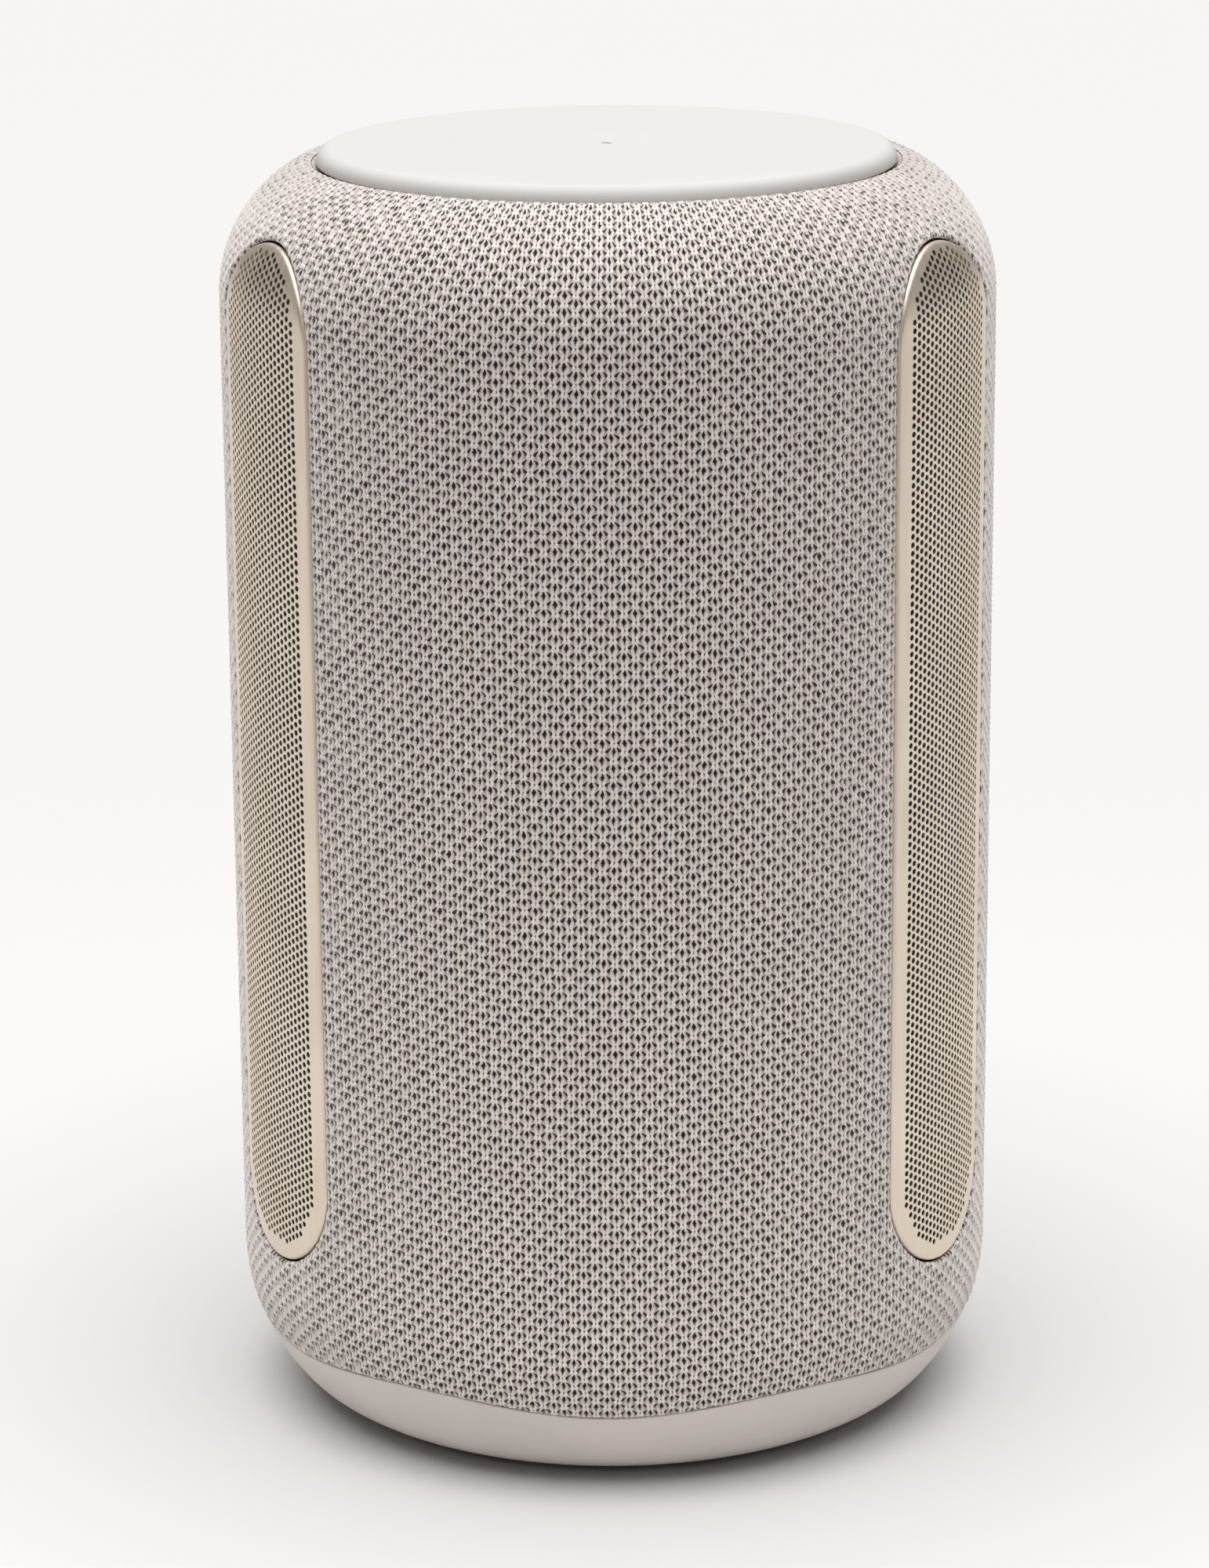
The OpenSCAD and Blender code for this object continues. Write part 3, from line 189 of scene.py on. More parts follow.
class Nodes:
    """A material's node tree, built by small calls that take numbers or sockets."""

    def __init__(self, name):
        self.material = bpy.data.materials.new(name)
        self.material.use_nodes = True
        self.tree = self.material.node_tree
        self.tree.nodes.clear()
        self.shader = self.add("ShaderNodeBsdfPrincipled")
        output = self.add("ShaderNodeOutputMaterial")
        self.tree.links.new(self.shader.outputs[0], output.inputs[0])

    def add(self, kind, *values, **settings):
        node = self.tree.nodes.new(kind)
        for key, value in settings.items():
            setattr(node, key, value)
        for socket, value in zip(node.inputs, values):
            self.put(socket, value)
        return node

    def put(self, socket, value):
        if isinstance(value, bpy.types.NodeSocket):
            self.tree.links.new(value, socket)
        elif value is not None:
            socket.default_value = value

    def math(self, operation, *values, clamp=False):
        return self.add("ShaderNodeMath", *values, operation=operation, use_clamp=clamp).outputs[0]

    def vector(self, operation, *values, out=0):
        return self.add("ShaderNodeVectorMath", *values, operation=operation).outputs[out]

    def blend(self, factor, a, b):
        node = self.add("ShaderNodeMix", data_type="RGBA")
        for key, value in (("Factor_Float", factor), ("A_Color", a), ("B_Color", b)):
            self.put(next(s for s in node.inputs if s.identifier == key), value)
        return next(s for s in node.outputs if s.identifier == "Result_Color")

    def ramp(self, value, low, high, to_low=0.0, to_high=1.0):
        values = (value, low, high, to_low, to_high)
        return self.add("ShaderNodeMapRange", *values, interpolation_type="SMOOTHSTEP").outputs[0]

    def noise(self, scale, detail=2.0, stretch=(1, 1, 1), roughness=0.5):
        place = self.add("ShaderNodeTexCoord").outputs["Object"]
        if stretch != (1, 1, 1):
            place = self.vector("MULTIPLY", place, stretch)
        node = self.add("ShaderNodeTexNoise")
        self.put(node.inputs["Vector"], place)
        for key, value in (("Scale", scale), ("Detail", detail), ("Roughness", roughness)):
            node.inputs[key].default_value = value
        return node.outputs["Fac"]

    def bump(self, height, distance, strength=1.0):
        node = self.add("ShaderNodeBump")
        for key, value in (("Height", height), ("Distance", distance), ("Strength", strength)):
            self.put(node.inputs[key], value)
        self.put(self.shader.inputs["Normal"], node.outputs[0])

    def surface(self, **values):
        """Sets the shader's inputs, named as on the node with _ for a space."""
        for key, value in values.items():
            self.put(self.shader.inputs[key.replace("_", " ")], value)


def rgba(r, g, b):
    return (r, g, b, 1.0)


def shade(color, factor):
    return rgba(*(min(1.0, c * factor) for c in color))


def moulded(name, color, roughness, grain=2500, depth=0.02 * MM, cloud=0.04, **extra):
    """Moulded plastic or rubber: a fine eroded grain, and faint clouds in colour and gloss."""
    n = Nodes(name)
    clouds = n.noise(35, 3)
    fine = n.noise(grain, 2, roughness=0.6)
    n.surface(
        Base_Color=n.blend(n.ramp(clouds, 0.3, 0.7), shade(color, 1 - cloud), shade(color, 1 + cloud)),
        Roughness=n.ramp(n.noise(160, 3), 0.25, 0.75, roughness - cloud, roughness + cloud),
        **extra,
    )
    n.bump(fine, depth)
    return n.material


def metal(name, color, roughness, stretch=(1, 1, 1), scale=900, depth=0.004 * MM, **extra):
    """Metal with a grain along the small axis of stretch: drawn, turned or blasted."""
    n = Nodes(name)
    grain = n.noise(scale, 3, stretch, 0.6)
    n.surface(
        Base_Color=n.blend(n.ramp(n.noise(60, 3), 0.3, 0.7), shade(color, 0.95), shade(color, 1.04)),
        Metallic=1.0,
        Roughness=n.ramp(grain, 0.25, 0.75, roughness - 0.06, roughness + 0.06),
        **extra,
    )
    n.bump(grain, depth)
    return n.material


# The radius at which the woven cloths lie.
CLOTH_R = 60 * MM


def cloth(name, color, threads, roughness=0.85):
    """Plain woven cloth with a thread count per metre, seen from any side."""
    n = Nodes(name)
    place = n.add("ShaderNodeTexCoord").outputs["Object"]
    split = n.add("ShaderNodeSeparateXYZ", place)
    around = n.math("ARCTAN2", split.outputs[0], split.outputs[1])
    warp = n.math("SINE", n.math("MULTIPLY", around, threads * TURN * CLOTH_R))
    weft = n.math("SINE", n.math("MULTIPLY", split.outputs[2], threads * TURN))
    weave = n.math("MULTIPLY", warp, weft)
    n.surface(
        Base_Color=n.blend(n.ramp(weave, -1, 1), shade(color, 0.6), shade(color, 1.25)),
        Roughness=roughness,
        Sheen_Weight=0.3,
    )
    n.bump(weave, 0.05 * MM)
    return n.material


def circuit(name, mask, trace):
    """Solder mask over copper tracks on a square grid."""
    n = Nodes(name)
    place = n.add("ShaderNodeTexCoord").outputs["Object"]
    cells = n.add("ShaderNodeTexVoronoi", feature="DISTANCE_TO_EDGE", distance="CHEBYCHEV")
    n.put(cells.inputs["Vector"], place)
    cells.inputs["Scale"].default_value = 420
    track = n.ramp(cells.outputs["Distance"], 0.05, 0.12)
    n.surface(Base_Color=n.blend(track, trace, mask), Roughness=0.35, Coat_Weight=0.3)
    n.bump(track, -0.03 * MM)
    return n.material


# ---- the stitch ----

# One stitch in columns and courses from its eye: an upright V of two legs that closes in a raised
# knot under the next stitch's foot, which carries a painted highlight. A stroke is (x0, y0, x1, y1, radius0,
# radius1, value0, value1), radii in millimetres. For a strand the values are its lift in millimetres, for an
# opening how dark it is painted, for the dark frame and the shade seen in it. Each stroke stands for a
# mirrored pair.
STRANDS = [
    (0.34, 0.22, 0.27, -0.30, 0.33, 0.40, -0.06, 0.02),
    (0.27, -0.30, 0.14, -0.78, 0.40, 0.30, 0.02, 0.12),
    (0.14, -0.78, 0.18, -1.08, 0.29, 0.28, 0.12, 0.24),
    (0.18, -1.08, 0.04, -1.38, 0.28, 0.27, 0.24, 0.28),
    (0.15, -1.56, 0.17, -1.76, 0.20, 0.20, 0.20, 0.10),
    (0.20, 0.80, 0.70, 0.28, 0.27, 0.25, 0.02, -0.08),
]
OPENINGS = [
    (0.35, 0.54, 0.58, 0.12, 0.10, 0.29, 1.0, 1.0),
    (0.0, 0.50, 0.0, 0.08, 0.12, 0.36, 1.0, 1.0),
    (0.0, 0.08, 0.0, -0.42, 0.36, 0.04, 1.0, 1.0),
    (0.0, -0.88, 0.0, -1.10, 0.15, 0.06, 0.8, 0.8),
]
FOLD_TOP = 0.25
VALLEY = -0.32
CREST = 0.28
EDGE_SOFT = 0.14
RELIEF_SOFT = 0.3
OPENING_DEPTH = 0.38

# Yarn colours: the low one is painted shade between the strands, the high one a painted highlight on the
# crests, the gap one is painted near-black for the dark frame and the shade in the openings, and the pale and
# rose ones are the yarn's own random tones.
YARN_PAINTED_SHADE = rgba(0.26, 0.205, 0.19)
YARN_PAINTED_LIGHT = rgba(1.0, 0.90, 0.85)
YARN_PALE = rgba(0.97, 0.91, 0.87)
YARN_ROSE = rgba(0.50, 0.42, 0.395)
YARN_GAP_FRAME_AND_SHADE = rgba(0.012, 0.008, 0.009)


def strokes_in_cell(strokes):
    """The strokes and their repeats that reach the cell of half a column by two courses."""
    kept = []
    for x0, y0, x1, y1, *rest in strokes:
        for shift in (0, -2, 2):
            own = (x0, y0 + shift, x1, y1 + shift)
            neighbour = (1 - x0, y0 - 1 + shift, 1 - x1, y1 - 1 + shift)
            for stroke in (own, neighbour):
                x_near, y_high, y_low = min(stroke[0], stroke[2]), max(stroke[1::2]), min(stroke[1::2])
                if x_near < 0.68 and y_high > FOLD_TOP - 2.2 and y_low < FOLD_TOP + 0.2:
                    kept.append((*stroke, *rest))
    return kept


CELL_STRANDS = strokes_in_cell(STRANDS)
CELL_OPENINGS = strokes_in_cell(OPENINGS)
COLUMN_MM, COURSE_MM = COLUMN / MM, COURSE / MM


def stroke_ends(stroke):
    x0, y0, x1, y1 = stroke[:4]
    return (x0 * COLUMN_MM, y0 * COURSE_MM), (x1 * COLUMN_MM, y1 * COURSE_MM)


def stitch_relief(u, v):
    """Height of the knit in millimetres at column u and course v, for the mesh."""
    column = np.floor(u + 0.5)
    x = np.abs(u - column) * COLUMN_MM
    y = ((v + column + 2 - FOLD_TOP) % 2 - 2 + FOLD_TOP) * COURSE_MM
    height = np.full(u.shape, VALLEY)
    for stroke in CELL_STRANDS:
        (ax, ay), (bx, by) = stroke_ends(stroke)
        dx, dy = bx - ax, by - ay
        t = np.clip(((x - ax) * dx + (y - ay) * dy) / (dx * dx + dy * dy), 0, 1)
        radius = stroke[4] + (stroke[5] - stroke[4]) * t
        lift = stroke[6] + (stroke[7] - stroke[6]) * t
        share = 1 - (np.hypot(x - ax - t * dx, y - ay - t * dy) / radius) ** 2
        height = np.maximum(height, lift + radius * (np.sqrt(np.maximum(share, 0)) - 1))
    for stroke in CELL_OPENINGS:
        (ax, ay), (bx, by) = stroke_ends(stroke)
        dx, dy = bx - ax, by - ay
        t = np.clip(((x - ax) * dx + (y - ay) * dy) / (dx * dx + dy * dy), 0, 1)
        radius = stroke[4] + (stroke[5] - stroke[4]) * t
        inside = np.clip((radius - np.hypot(x - ax - t * dx, y - ay - t * dy)) / RELIEF_SOFT + 0.5, 0, 1)
        height -= OPENING_DEPTH * stroke[6] * inside
    return height


def knit_material():
    """Warm grey knit: the strands' heights and openings again, worked out by nodes on the stitch map, with
    painted shade low between the strands, painted light on the crests, and the openings painted near-black
    for the dark frame and the shade in them.
    """
    n = Nodes("knit_yarn")
    stitch_map = n.add("ShaderNodeUVMap", uv_map="stitches").outputs[0]
    split = n.add("ShaderNodeSeparateXYZ", stitch_map)
    u, v = split.outputs[0], split.outputs[1]
    u = n.math("ADD", u, n.ramp(n.noise(420, 2), 0.2, 0.8, -0.09, 0.09))
    v = n.math("ADD", v, n.ramp(n.noise(390, 2, (1, 1, 0.7)), 0.2, 0.8, -0.09, 0.09))
    column = n.math("FLOOR", n.math("ADD", u, 0.5))
    x = n.math("ABSOLUTE", n.math("SUBTRACT", u, column))
    turned = n.math("ADD", n.math("ADD", v, column), 2 - FOLD_TOP)
    y = n.math("ADD", n.math("FLOORED_MODULO", turned, 2.0), FOLD_TOP - 2)
    x, y = n.math("MULTIPLY", x, COLUMN_MM), n.math("MULTIPLY", y, COURSE_MM)
    place = n.add("ShaderNodeCombineXYZ", x, y, 0.0).outputs[0]

    def along(stroke):
        """Distance to the stroke's axis, and the share of the way along it."""
        a, b = (Vector((*end, 0)) for end in stroke_ends(stroke))
        way = b - a
        offset = n.vector("SUBTRACT", place, tuple(a))
        share = n.vector("DOT_PRODUCT", offset, tuple(way / way.length_squared), out=1)
        share = n.math("MULTIPLY", share, 1.0, clamp=True)
        nearest = n.add("ShaderNodeVectorMath", tuple(way), operation="SCALE")
        n.put(nearest.inputs["Scale"], share)
        return n.vector("DISTANCE", offset, nearest.outputs[0], out=1), share

    height = None
    for stroke in CELL_STRANDS:
        distance, share = along(stroke)
        radius = n.math("MULTIPLY_ADD", share, stroke[5] - stroke[4], stroke[4])
        lift = n.math("MULTIPLY_ADD", share, stroke[7] - stroke[6], stroke[6])
        part = n.math("DIVIDE", distance, radius)
        round_side = n.math("MULTIPLY", n.math("MULTIPLY", part, part), -0.6)
        strand = n.math("MULTIPLY_ADD", round_side, radius, lift)
        height = strand if height is None else n.math("MAXIMUM", height, strand)
    # Painted shade in the openings: near-black for the dark frame and the shade seen through the knit.
    dark = None
    for stroke in CELL_OPENINGS:
        distance, share = along(stroke)
        radius = n.math("MULTIPLY_ADD", share, stroke[5] - stroke[4], stroke[4])
        depth = n.math("SUBTRACT", radius, distance)
        opening = n.ramp(depth, -EDGE_SOFT / 2, EDGE_SOFT / 2, 0.0, stroke[6])
        dark = opening if dark is None else n.math("MAXIMUM", dark, opening)

    fibre = n.noise(5200, 3, roughness=0.7)
    patches = n.noise(90, 2)
    # Painted shade and light: the yarn's colour runs from dark where the strands lie low to bright on their
    # crests.
    lit = n.ramp(height, VALLEY, CREST - 0.1)
    yarn = n.blend(lit, YARN_PAINTED_SHADE, YARN_PAINTED_LIGHT)
    yarn = n.blend(n.math("MULTIPLY", n.ramp(fibre, 0.35, 0.7), 0.22), yarn, YARN_PALE)
    yarn = n.blend(n.math("MULTIPLY", n.ramp(patches, 0.4, 0.7), 0.10), yarn, YARN_ROSE)
    n.surface(
        Base_Color=n.blend(dark, yarn, YARN_GAP_FRAME_AND_SHADE),
        Roughness=0.78,
        Sheen_Weight=1.0,
        Sheen_Roughness=0.5,
        Sheen_Tint=rgba(1.0, 0.955, 0.93),
        Specular_IOR_Level=0.25,
    )
    n.bump(fibre, 0.12 * MM, 0.7)
    return n.material


# ---- fabric sleeve ----

# The fabric's edge rolls in over EDGE_ROLL, keeps EDGE_RELIEF of its stitches' relief there, and its
# skirt ends at EDGE_INSET. At the top it dips by LIP_DROP over LIP, down to the plate's gap.
EDGE_ROLL = 0.5 * MM
EDGE_INSET = 1.0 * MM
LIP = 2.4 * MM
LIP_DROP = 1.6 * MM
ROLL_SHARE = 0.8
EDGE_RELIEF = 0.4
SPREAD_ROOM = 1.002
EDGE_PASSES = 4
FAR_AWAY = 1.0
WAVE = 1.2 * MM
LOBES = 6


def hem_height(azimuth):
    """Height of the knit's hem, which dips at six places round the base."""
    return HEM_Z + 0.1 * MM - WAVE * np.cos(LOBES * azimuth)


def rounded_slot(x, z, half_w, z0, z1):
    """Signed distance outside a slot with round ends."""
    reach = (z1 - z0) / 2 - half_w
    return np.hypot(x, np.maximum(np.abs(z - (z0 + z1) / 2) - reach, 0)) - half_w


def rounded_box(x, z, half_w, half_h, corner):
    qx = np.abs(x) - half_w + corner
    qz = np.abs(z) - half_h + corner
    return np.hypot(np.maximum(qx, 0), np.maximum(qz, 0)) + np.minimum(np.maximum(qx, qz), 0) - corner


def fabric_room(azimuth, s):
    """Distance in from the nearest edge of the fabric, negative where there is none."""
    r, z, _ = profile(s)
    room = np.minimum(TOP_S - s, (z - hem_height(azimuth)) / math.cos(HEM_ANGLE))
    for side in (-1, 1):
        turn = azimuth - side * GRILLE_AZ
        slot = rounded_slot(
            r * np.sin(turn), z, GRILLE_HALF_W + GRILLE_GAP, GRILLE_LOW - GRILLE_GAP, GRILLE_HIGH + GRILLE_GAP
        )
        room = np.minimum(room, np.where(np.cos(turn) > 0, slot, FAR_AWAY))
    panel = rounded_box(r * np.sin(azimuth), z - PANEL_Z, PANEL_HALF_W, PANEL_HALF_H, PANEL_CORNER)
    return np.minimum(room, np.where(np.cos(azimuth) < 0, panel, FAR_AWAY))


def room_slope(azimuth, s):
    """Change of fabric_room with the azimuth and with s."""
    step = 0.02 * MM
    across = step / BODY_R
    by_azimuth = (fabric_room(azimuth + across, s) - fabric_room(azimuth - across, s)) / (2 * across)
    by_s = (fabric_room(azimuth, s + step) - fabric_room(azimuth, s - step)) / (2 * step)
    return by_azimuth, by_s


def slide(azimuth, s, distance):
    """Moves points by a distance away from the nearest edge of the fabric."""
    by_azimuth, by_s = room_slope(azimuth, s)
    r = profile(s)[0]
    size = (by_azimuth / r) ** 2 + by_s**2 + 1e-9
    return azimuth + distance * by_azimuth / r**2 / size, s + distance * by_s / size


def knit_sleeve():
    margin = 3 * COURSE
    around = COLUMNS * STITCH_U
    rows = int((TOP_S + 2 * margin) / COURSE * STITCH_V)
    azimuth = -math.pi + np.arange(around) * TURN / around
    s = -margin + np.arange(rows + 1) * COURSE / STITCH_V
    azimuth, s = (g.ravel() for g in np.meshgrid(azimuth, s, indexing="ij"))

    i, j = (g.ravel() for g in np.meshgrid(np.arange(around), np.arange(rows), indexing="ij"))
    a, b = i * (rows + 1) + j, (i + 1) % around * (rows + 1) + j
    quads = np.stack([a, b, b + 1, a + 1], -1)
    wraps = i == around - 1
    kept = fabric_room(azimuth, s)[quads].mean(1) > 0
    quads, wraps = quads[kept], wraps[kept]

    # The fabric's edges are moved onto their outlines.
    edges = np.concatenate([quads[:, [k, (k + 1) % 4]] for k in range(4)])
    key = np.sort(edges, 1)
    key = key[:, 0].astype(np.int64) * len(s) + key[:, 1]
    _, first, uses = np.unique(key, return_index=True, return_counts=True)
    border = edges[first[uses == 1]]
    rim = np.unique(border)
    for _ in range(EDGE_PASSES):
        azimuth[rim], s[rim] = slide(azimuth[rim], s[rim], -fabric_room(azimuth[rim], s[rim]))

    # They roll in, and a skirt goes down to the frame.
    relief = stitch_relief(azimuth / TURN * COLUMNS, s / COURSE)
    room = np.clip(fabric_room(azimuth, s), 0, EDGE_ROLL)
    roll = EDGE_ROLL - np.sqrt(EDGE_ROLL**2 - (EDGE_ROLL - room) ** 2)
    share = EDGE_RELIEF + (1 - EDGE_RELIEF) * room / EDGE_ROLL
    inset = (CREST / 2 - relief) * MM * share + roll * ROLL_SHARE
    lip = np.clip(1 - (TOP_S - s) / LIP, 0, 1)
    inset = inset + LIP_DROP * lip**2
    points = skin(azimuth, s, inset)
    skirt_of = np.zeros(len(s), int)
    skirt_of[rim] = np.arange(len(rim)) + len(s)
    points = np.concatenate([points, skin(azimuth[rim], s[rim], EDGE_INSET + LIP_DROP * lip[rim] ** 2)])
    skirt = np.stack([border[:, 1], border[:, 0], skirt_of[border[:, 0]], skirt_of[border[:, 1]]], -1)
    out_azimuth, out_s = slide(azimuth[rim], s[rim], -EDGE_ROLL)
    azimuth, s = np.concatenate([azimuth, out_azimuth]), np.concatenate([s, out_s])
    quads = np.concatenate([quads, skirt])

    used, quads = np.unique(quads, return_inverse=True)
    quads = quads.reshape(-1, 4)
    azimuth, s = azimuth[used], s[used]
    mesh = quad_mesh("fabric_sleeve_knit", points[used], quads)
    turn = azimuth[quads]
    turn = np.where(turn < turn.max(1, keepdims=True) - math.pi, turn + TURN, turn)
    stitches = np.stack([turn / TURN * COLUMNS, s[quads] / COURSE], -1)
    across, up = (turn + math.pi) / (TURN * SPREAD_ROOM), (s[quads] + margin) / (TOP_S + 2 * margin)
    spread = np.stack([across, up], -1)
    for name, places in (("stitches", stitches), ("OFBake", spread)):
        mesh.uv_layers.new(name=name).uv.foreach_set("vector", places.astype(np.float32).ravel())
    sleeve = finish_piece("fabric_sleeve_knit", mesh, "root", knit_material())
    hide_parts("fabric_sleeve")


# ---- grilles ----

RIM_ROLL = 0.9 * MM
ROLL_STEPS = 5
HOLE_SIDES = 10
HOLE_MARGIN = 0.97
CDT_SCALE = 1000
HOLE_CLEAR = 0.3 * MM
BORDER_STEP = 0.9 * MM
BORDER_SPACING = 1.2 * MM


def slot_outline(inward, spacing):
    """Points round a grille's outline, moved inward, evenly spaced."""
    half_w = GRILLE_HALF_W - inward
    straight, arc = 2 * GRILLE_REACH, math.pi * half_w
    count = 2 * round((straight + arc) / spacing)
    points = []
    for k in range(count):
        way = (k + 0.5) / count * 2 * (straight + arc)
        half, way = divmod(way, straight + arc)
        if way < straight:
            x, z = half_w, way - GRILLE_REACH
        else:
            angle = (way - straight) / half_w
            x, z = half_w * math.cos(angle), GRILLE_REACH + half_w * math.sin(angle)
        points.append((-x, -z) if half else (x, z))
    return np.array(points)


def hole_centres():
    """Centres of a triangular lattice of holes, kept inside the plain border."""
    inner = GRILLE_HALF_W - GRILLE_BORDER - HOLE_R
    columns, rows = int(inner / HOLE_COLUMN) + 1, int((GRILLE_REACH + inner) / HOLE_PITCH) + 2
    centres = [
        (i * HOLE_COLUMN, (j + (i % 2) / 2) * HOLE_PITCH)
        for i in range(-columns, columns + 1)
        for j in range(-rows - 1, rows + 1)
    ]
    centres = np.array(centres)
    past = np.maximum(centres[:, 1] - GRILLE_REACH - GRILLE_TOP_SHIFT, -centres[:, 1] - GRILLE_REACH)
    return centres[np.hypot(centres[:, 0], np.maximum(past, 0)) <= inner]


def grille_pattern():
    """Flat triangles of the perforated sheet: points, faces, and the hole rings."""
    centres = hole_centres()
    angle = np.arange(HOLE_SIDES) * TURN / HOLE_SIDES
    ring = np.stack([np.cos(angle), np.sin(angle)], -1) * HOLE_R
    rings = (centres[:, None] + ring[None]).reshape(-1, 2)
    outer = slot_outline(RIM_ROLL, BORDER_STEP)
    middle = [slot_outline(RIM_ROLL + k * BORDER_STEP, BORDER_SPACING) for k in (1, 2)]
    middle = np.concatenate(middle)
    to_hole = np.linalg.norm(middle[:, None] - centres[None], axis=-1).min(1)
    middle = middle[to_hole > HOLE_R + HOLE_CLEAR]
    points = np.concatenate([rings, outer, middle])
    edges, start = [], 0
    for size in [HOLE_SIDES] * len(centres) + [len(outer)]:
        edges += [(start + k, start + (k + 1) % size) for k in range(size)]
        start += size
    found = delaunay_2d_cdt([Vector(p * CDT_SCALE) for p in points], edges, [], 0, 1e-5)
    flat = np.array([tuple(p) for p in found[0]]) / CDT_SCALE
    faces = np.array(found[2])
    middle_of = flat[faces].mean(1)
    past_end = np.maximum(np.abs(middle_of[:, 1]) - GRILLE_REACH, 0)
    inside = np.hypot(middle_of[:, 0], past_end) < GRILLE_HALF_W - RIM_ROLL
    i = np.round(middle_of[:, 0] / HOLE_COLUMN)
    open_hole = np.zeros(len(faces), bool)
    centre_set = {(round(c[0] / MM, 2), round(c[1] / MM, 2)) for c in centres}
    for k in (-1, 0, 1):
        x = (i + k) * HOLE_COLUMN
        shift = ((i + k) % 2) / 2
        z = (np.round(middle_of[:, 1] / HOLE_PITCH - shift) + shift) * HOLE_PITCH
        near = np.hypot(middle_of[:, 0] - x, middle_of[:, 1] - z) < HOLE_R * HOLE_MARGIN
        known = [(round(a / MM, 2), round(b / MM, 2)) in centre_set for a, b in zip(x, z)]
        open_hole |= near & np.array(known)
    faces = faces[inside & ~open_hole]
    origin = {old[0]: new for new, old in enumerate(found[3]) if old}
    hole_rings = [
        [origin[h * HOLE_SIDES + k] for k in range(HOLE_SIDES)] for h in range(len(centres))
    ]
    first = len(rings)
    edge_ring = [origin[first + k] for k in range(len(outer))]
    return flat, faces, hole_rings, edge_ring, outer


def grille(name, node, side, pattern, material):
    """A grille bent onto the skin: the perforated sheet, its holes' walls, and a rim rolled back."""
    flat, faces, hole_rings, edge_ring, outer = pattern

    def place(points, inset):
        s = height_to_s(GRILLE_MID_Z + points[:, 1])
        r = profile(s)[0]
        return skin(side * GRILLE_AZ + np.arcsin(points[:, 0] / r), s, inset)

    front = place(flat, GRILLE_INSET)
    back = place(flat, GRILLE_INSET + GRILLE_T)
    count = len(flat)
    rim = []
    core = np.stack([0 * outer[:, 0], np.clip(outer[:, 1], -GRILLE_REACH, GRILLE_REACH)], -1)
    away = (outer - core) / np.linalg.norm(outer - core, axis=1)[:, None]
    for k in range(1, ROLL_STEPS + 1):
        angle = k / ROLL_STEPS * math.pi / 2
        inset = GRILLE_INSET + RIM_ROLL * (1 - math.cos(angle))
        rim.append(place(outer + away * RIM_ROLL * math.sin(angle), inset))
    rim.append(place(outer + away * RIM_ROLL, GRILLE_RIM_INSET))
    rim.append(place(outer, GRILLE_RIM_INSET))
    points = np.concatenate([front, back, *rim])
    made = [tuple(f) for f in faces] + [tuple(f[::-1] + count) for f in faces]
    for ring in hole_rings:
        for k in range(HOLE_SIDES):
            a, b = ring[k], ring[(k + 1) % HOLE_SIDES]
            made.append((b, a, a + count, b + count))
    size = len(outer)
    loops = [edge_ring] + [[2 * count + k * size + m for m in range(size)] for k in range(len(rim))]
    loops.append([v + count for v in edge_ring])
    for near, far in zip(loops, loops[1:]):
        for k in range(size):
            made.append((near[k], near[(k + 1) % size], far[(k + 1) % size], far[k])[::-1])
    mesh = bpy.data.meshes.new(name)
    mesh.from_pydata(points.tolist(), [], made)
    piece = finish_piece(name, mesh, "root", material, 40)
    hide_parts(node)


def gold_material():
    """Champagne anodised aluminium: a blasted satin with faint vertical drawing marks, and painted glints in
    its colour.
    """
    n = Nodes("champagne_aluminium")
    sparkle = n.noise(6500, 2, roughness=0.7)
    drawn = n.noise(900, 2, (1, 1, 0.05))
    tone = n.blend(n.ramp(n.noise(45, 2), 0.3, 0.7), rgba(0.79, 0.68, 0.555), rgba(0.84, 0.73, 0.60))
    # Painted glints: random specks of the colour lifted towards a brighter champagne.
    painted_glint = n.math("MULTIPLY", n.ramp(sparkle, 0.45, 0.75), 0.25)
    n.surface(
        Base_Color=n.blend(painted_glint, tone, rgba(0.89, 0.80, 0.685)),
        Metallic=0.7,
        Roughness=n.ramp(n.math("ADD", sparkle, drawn), 0.7, 1.3, 0.34, 0.5),
    )
    n.bump(n.math("ADD", sparkle, n.math("MULTIPLY", drawn, 0.5)), 0.012 * MM, 0.6)
    return n.material


# ---- base and top ----


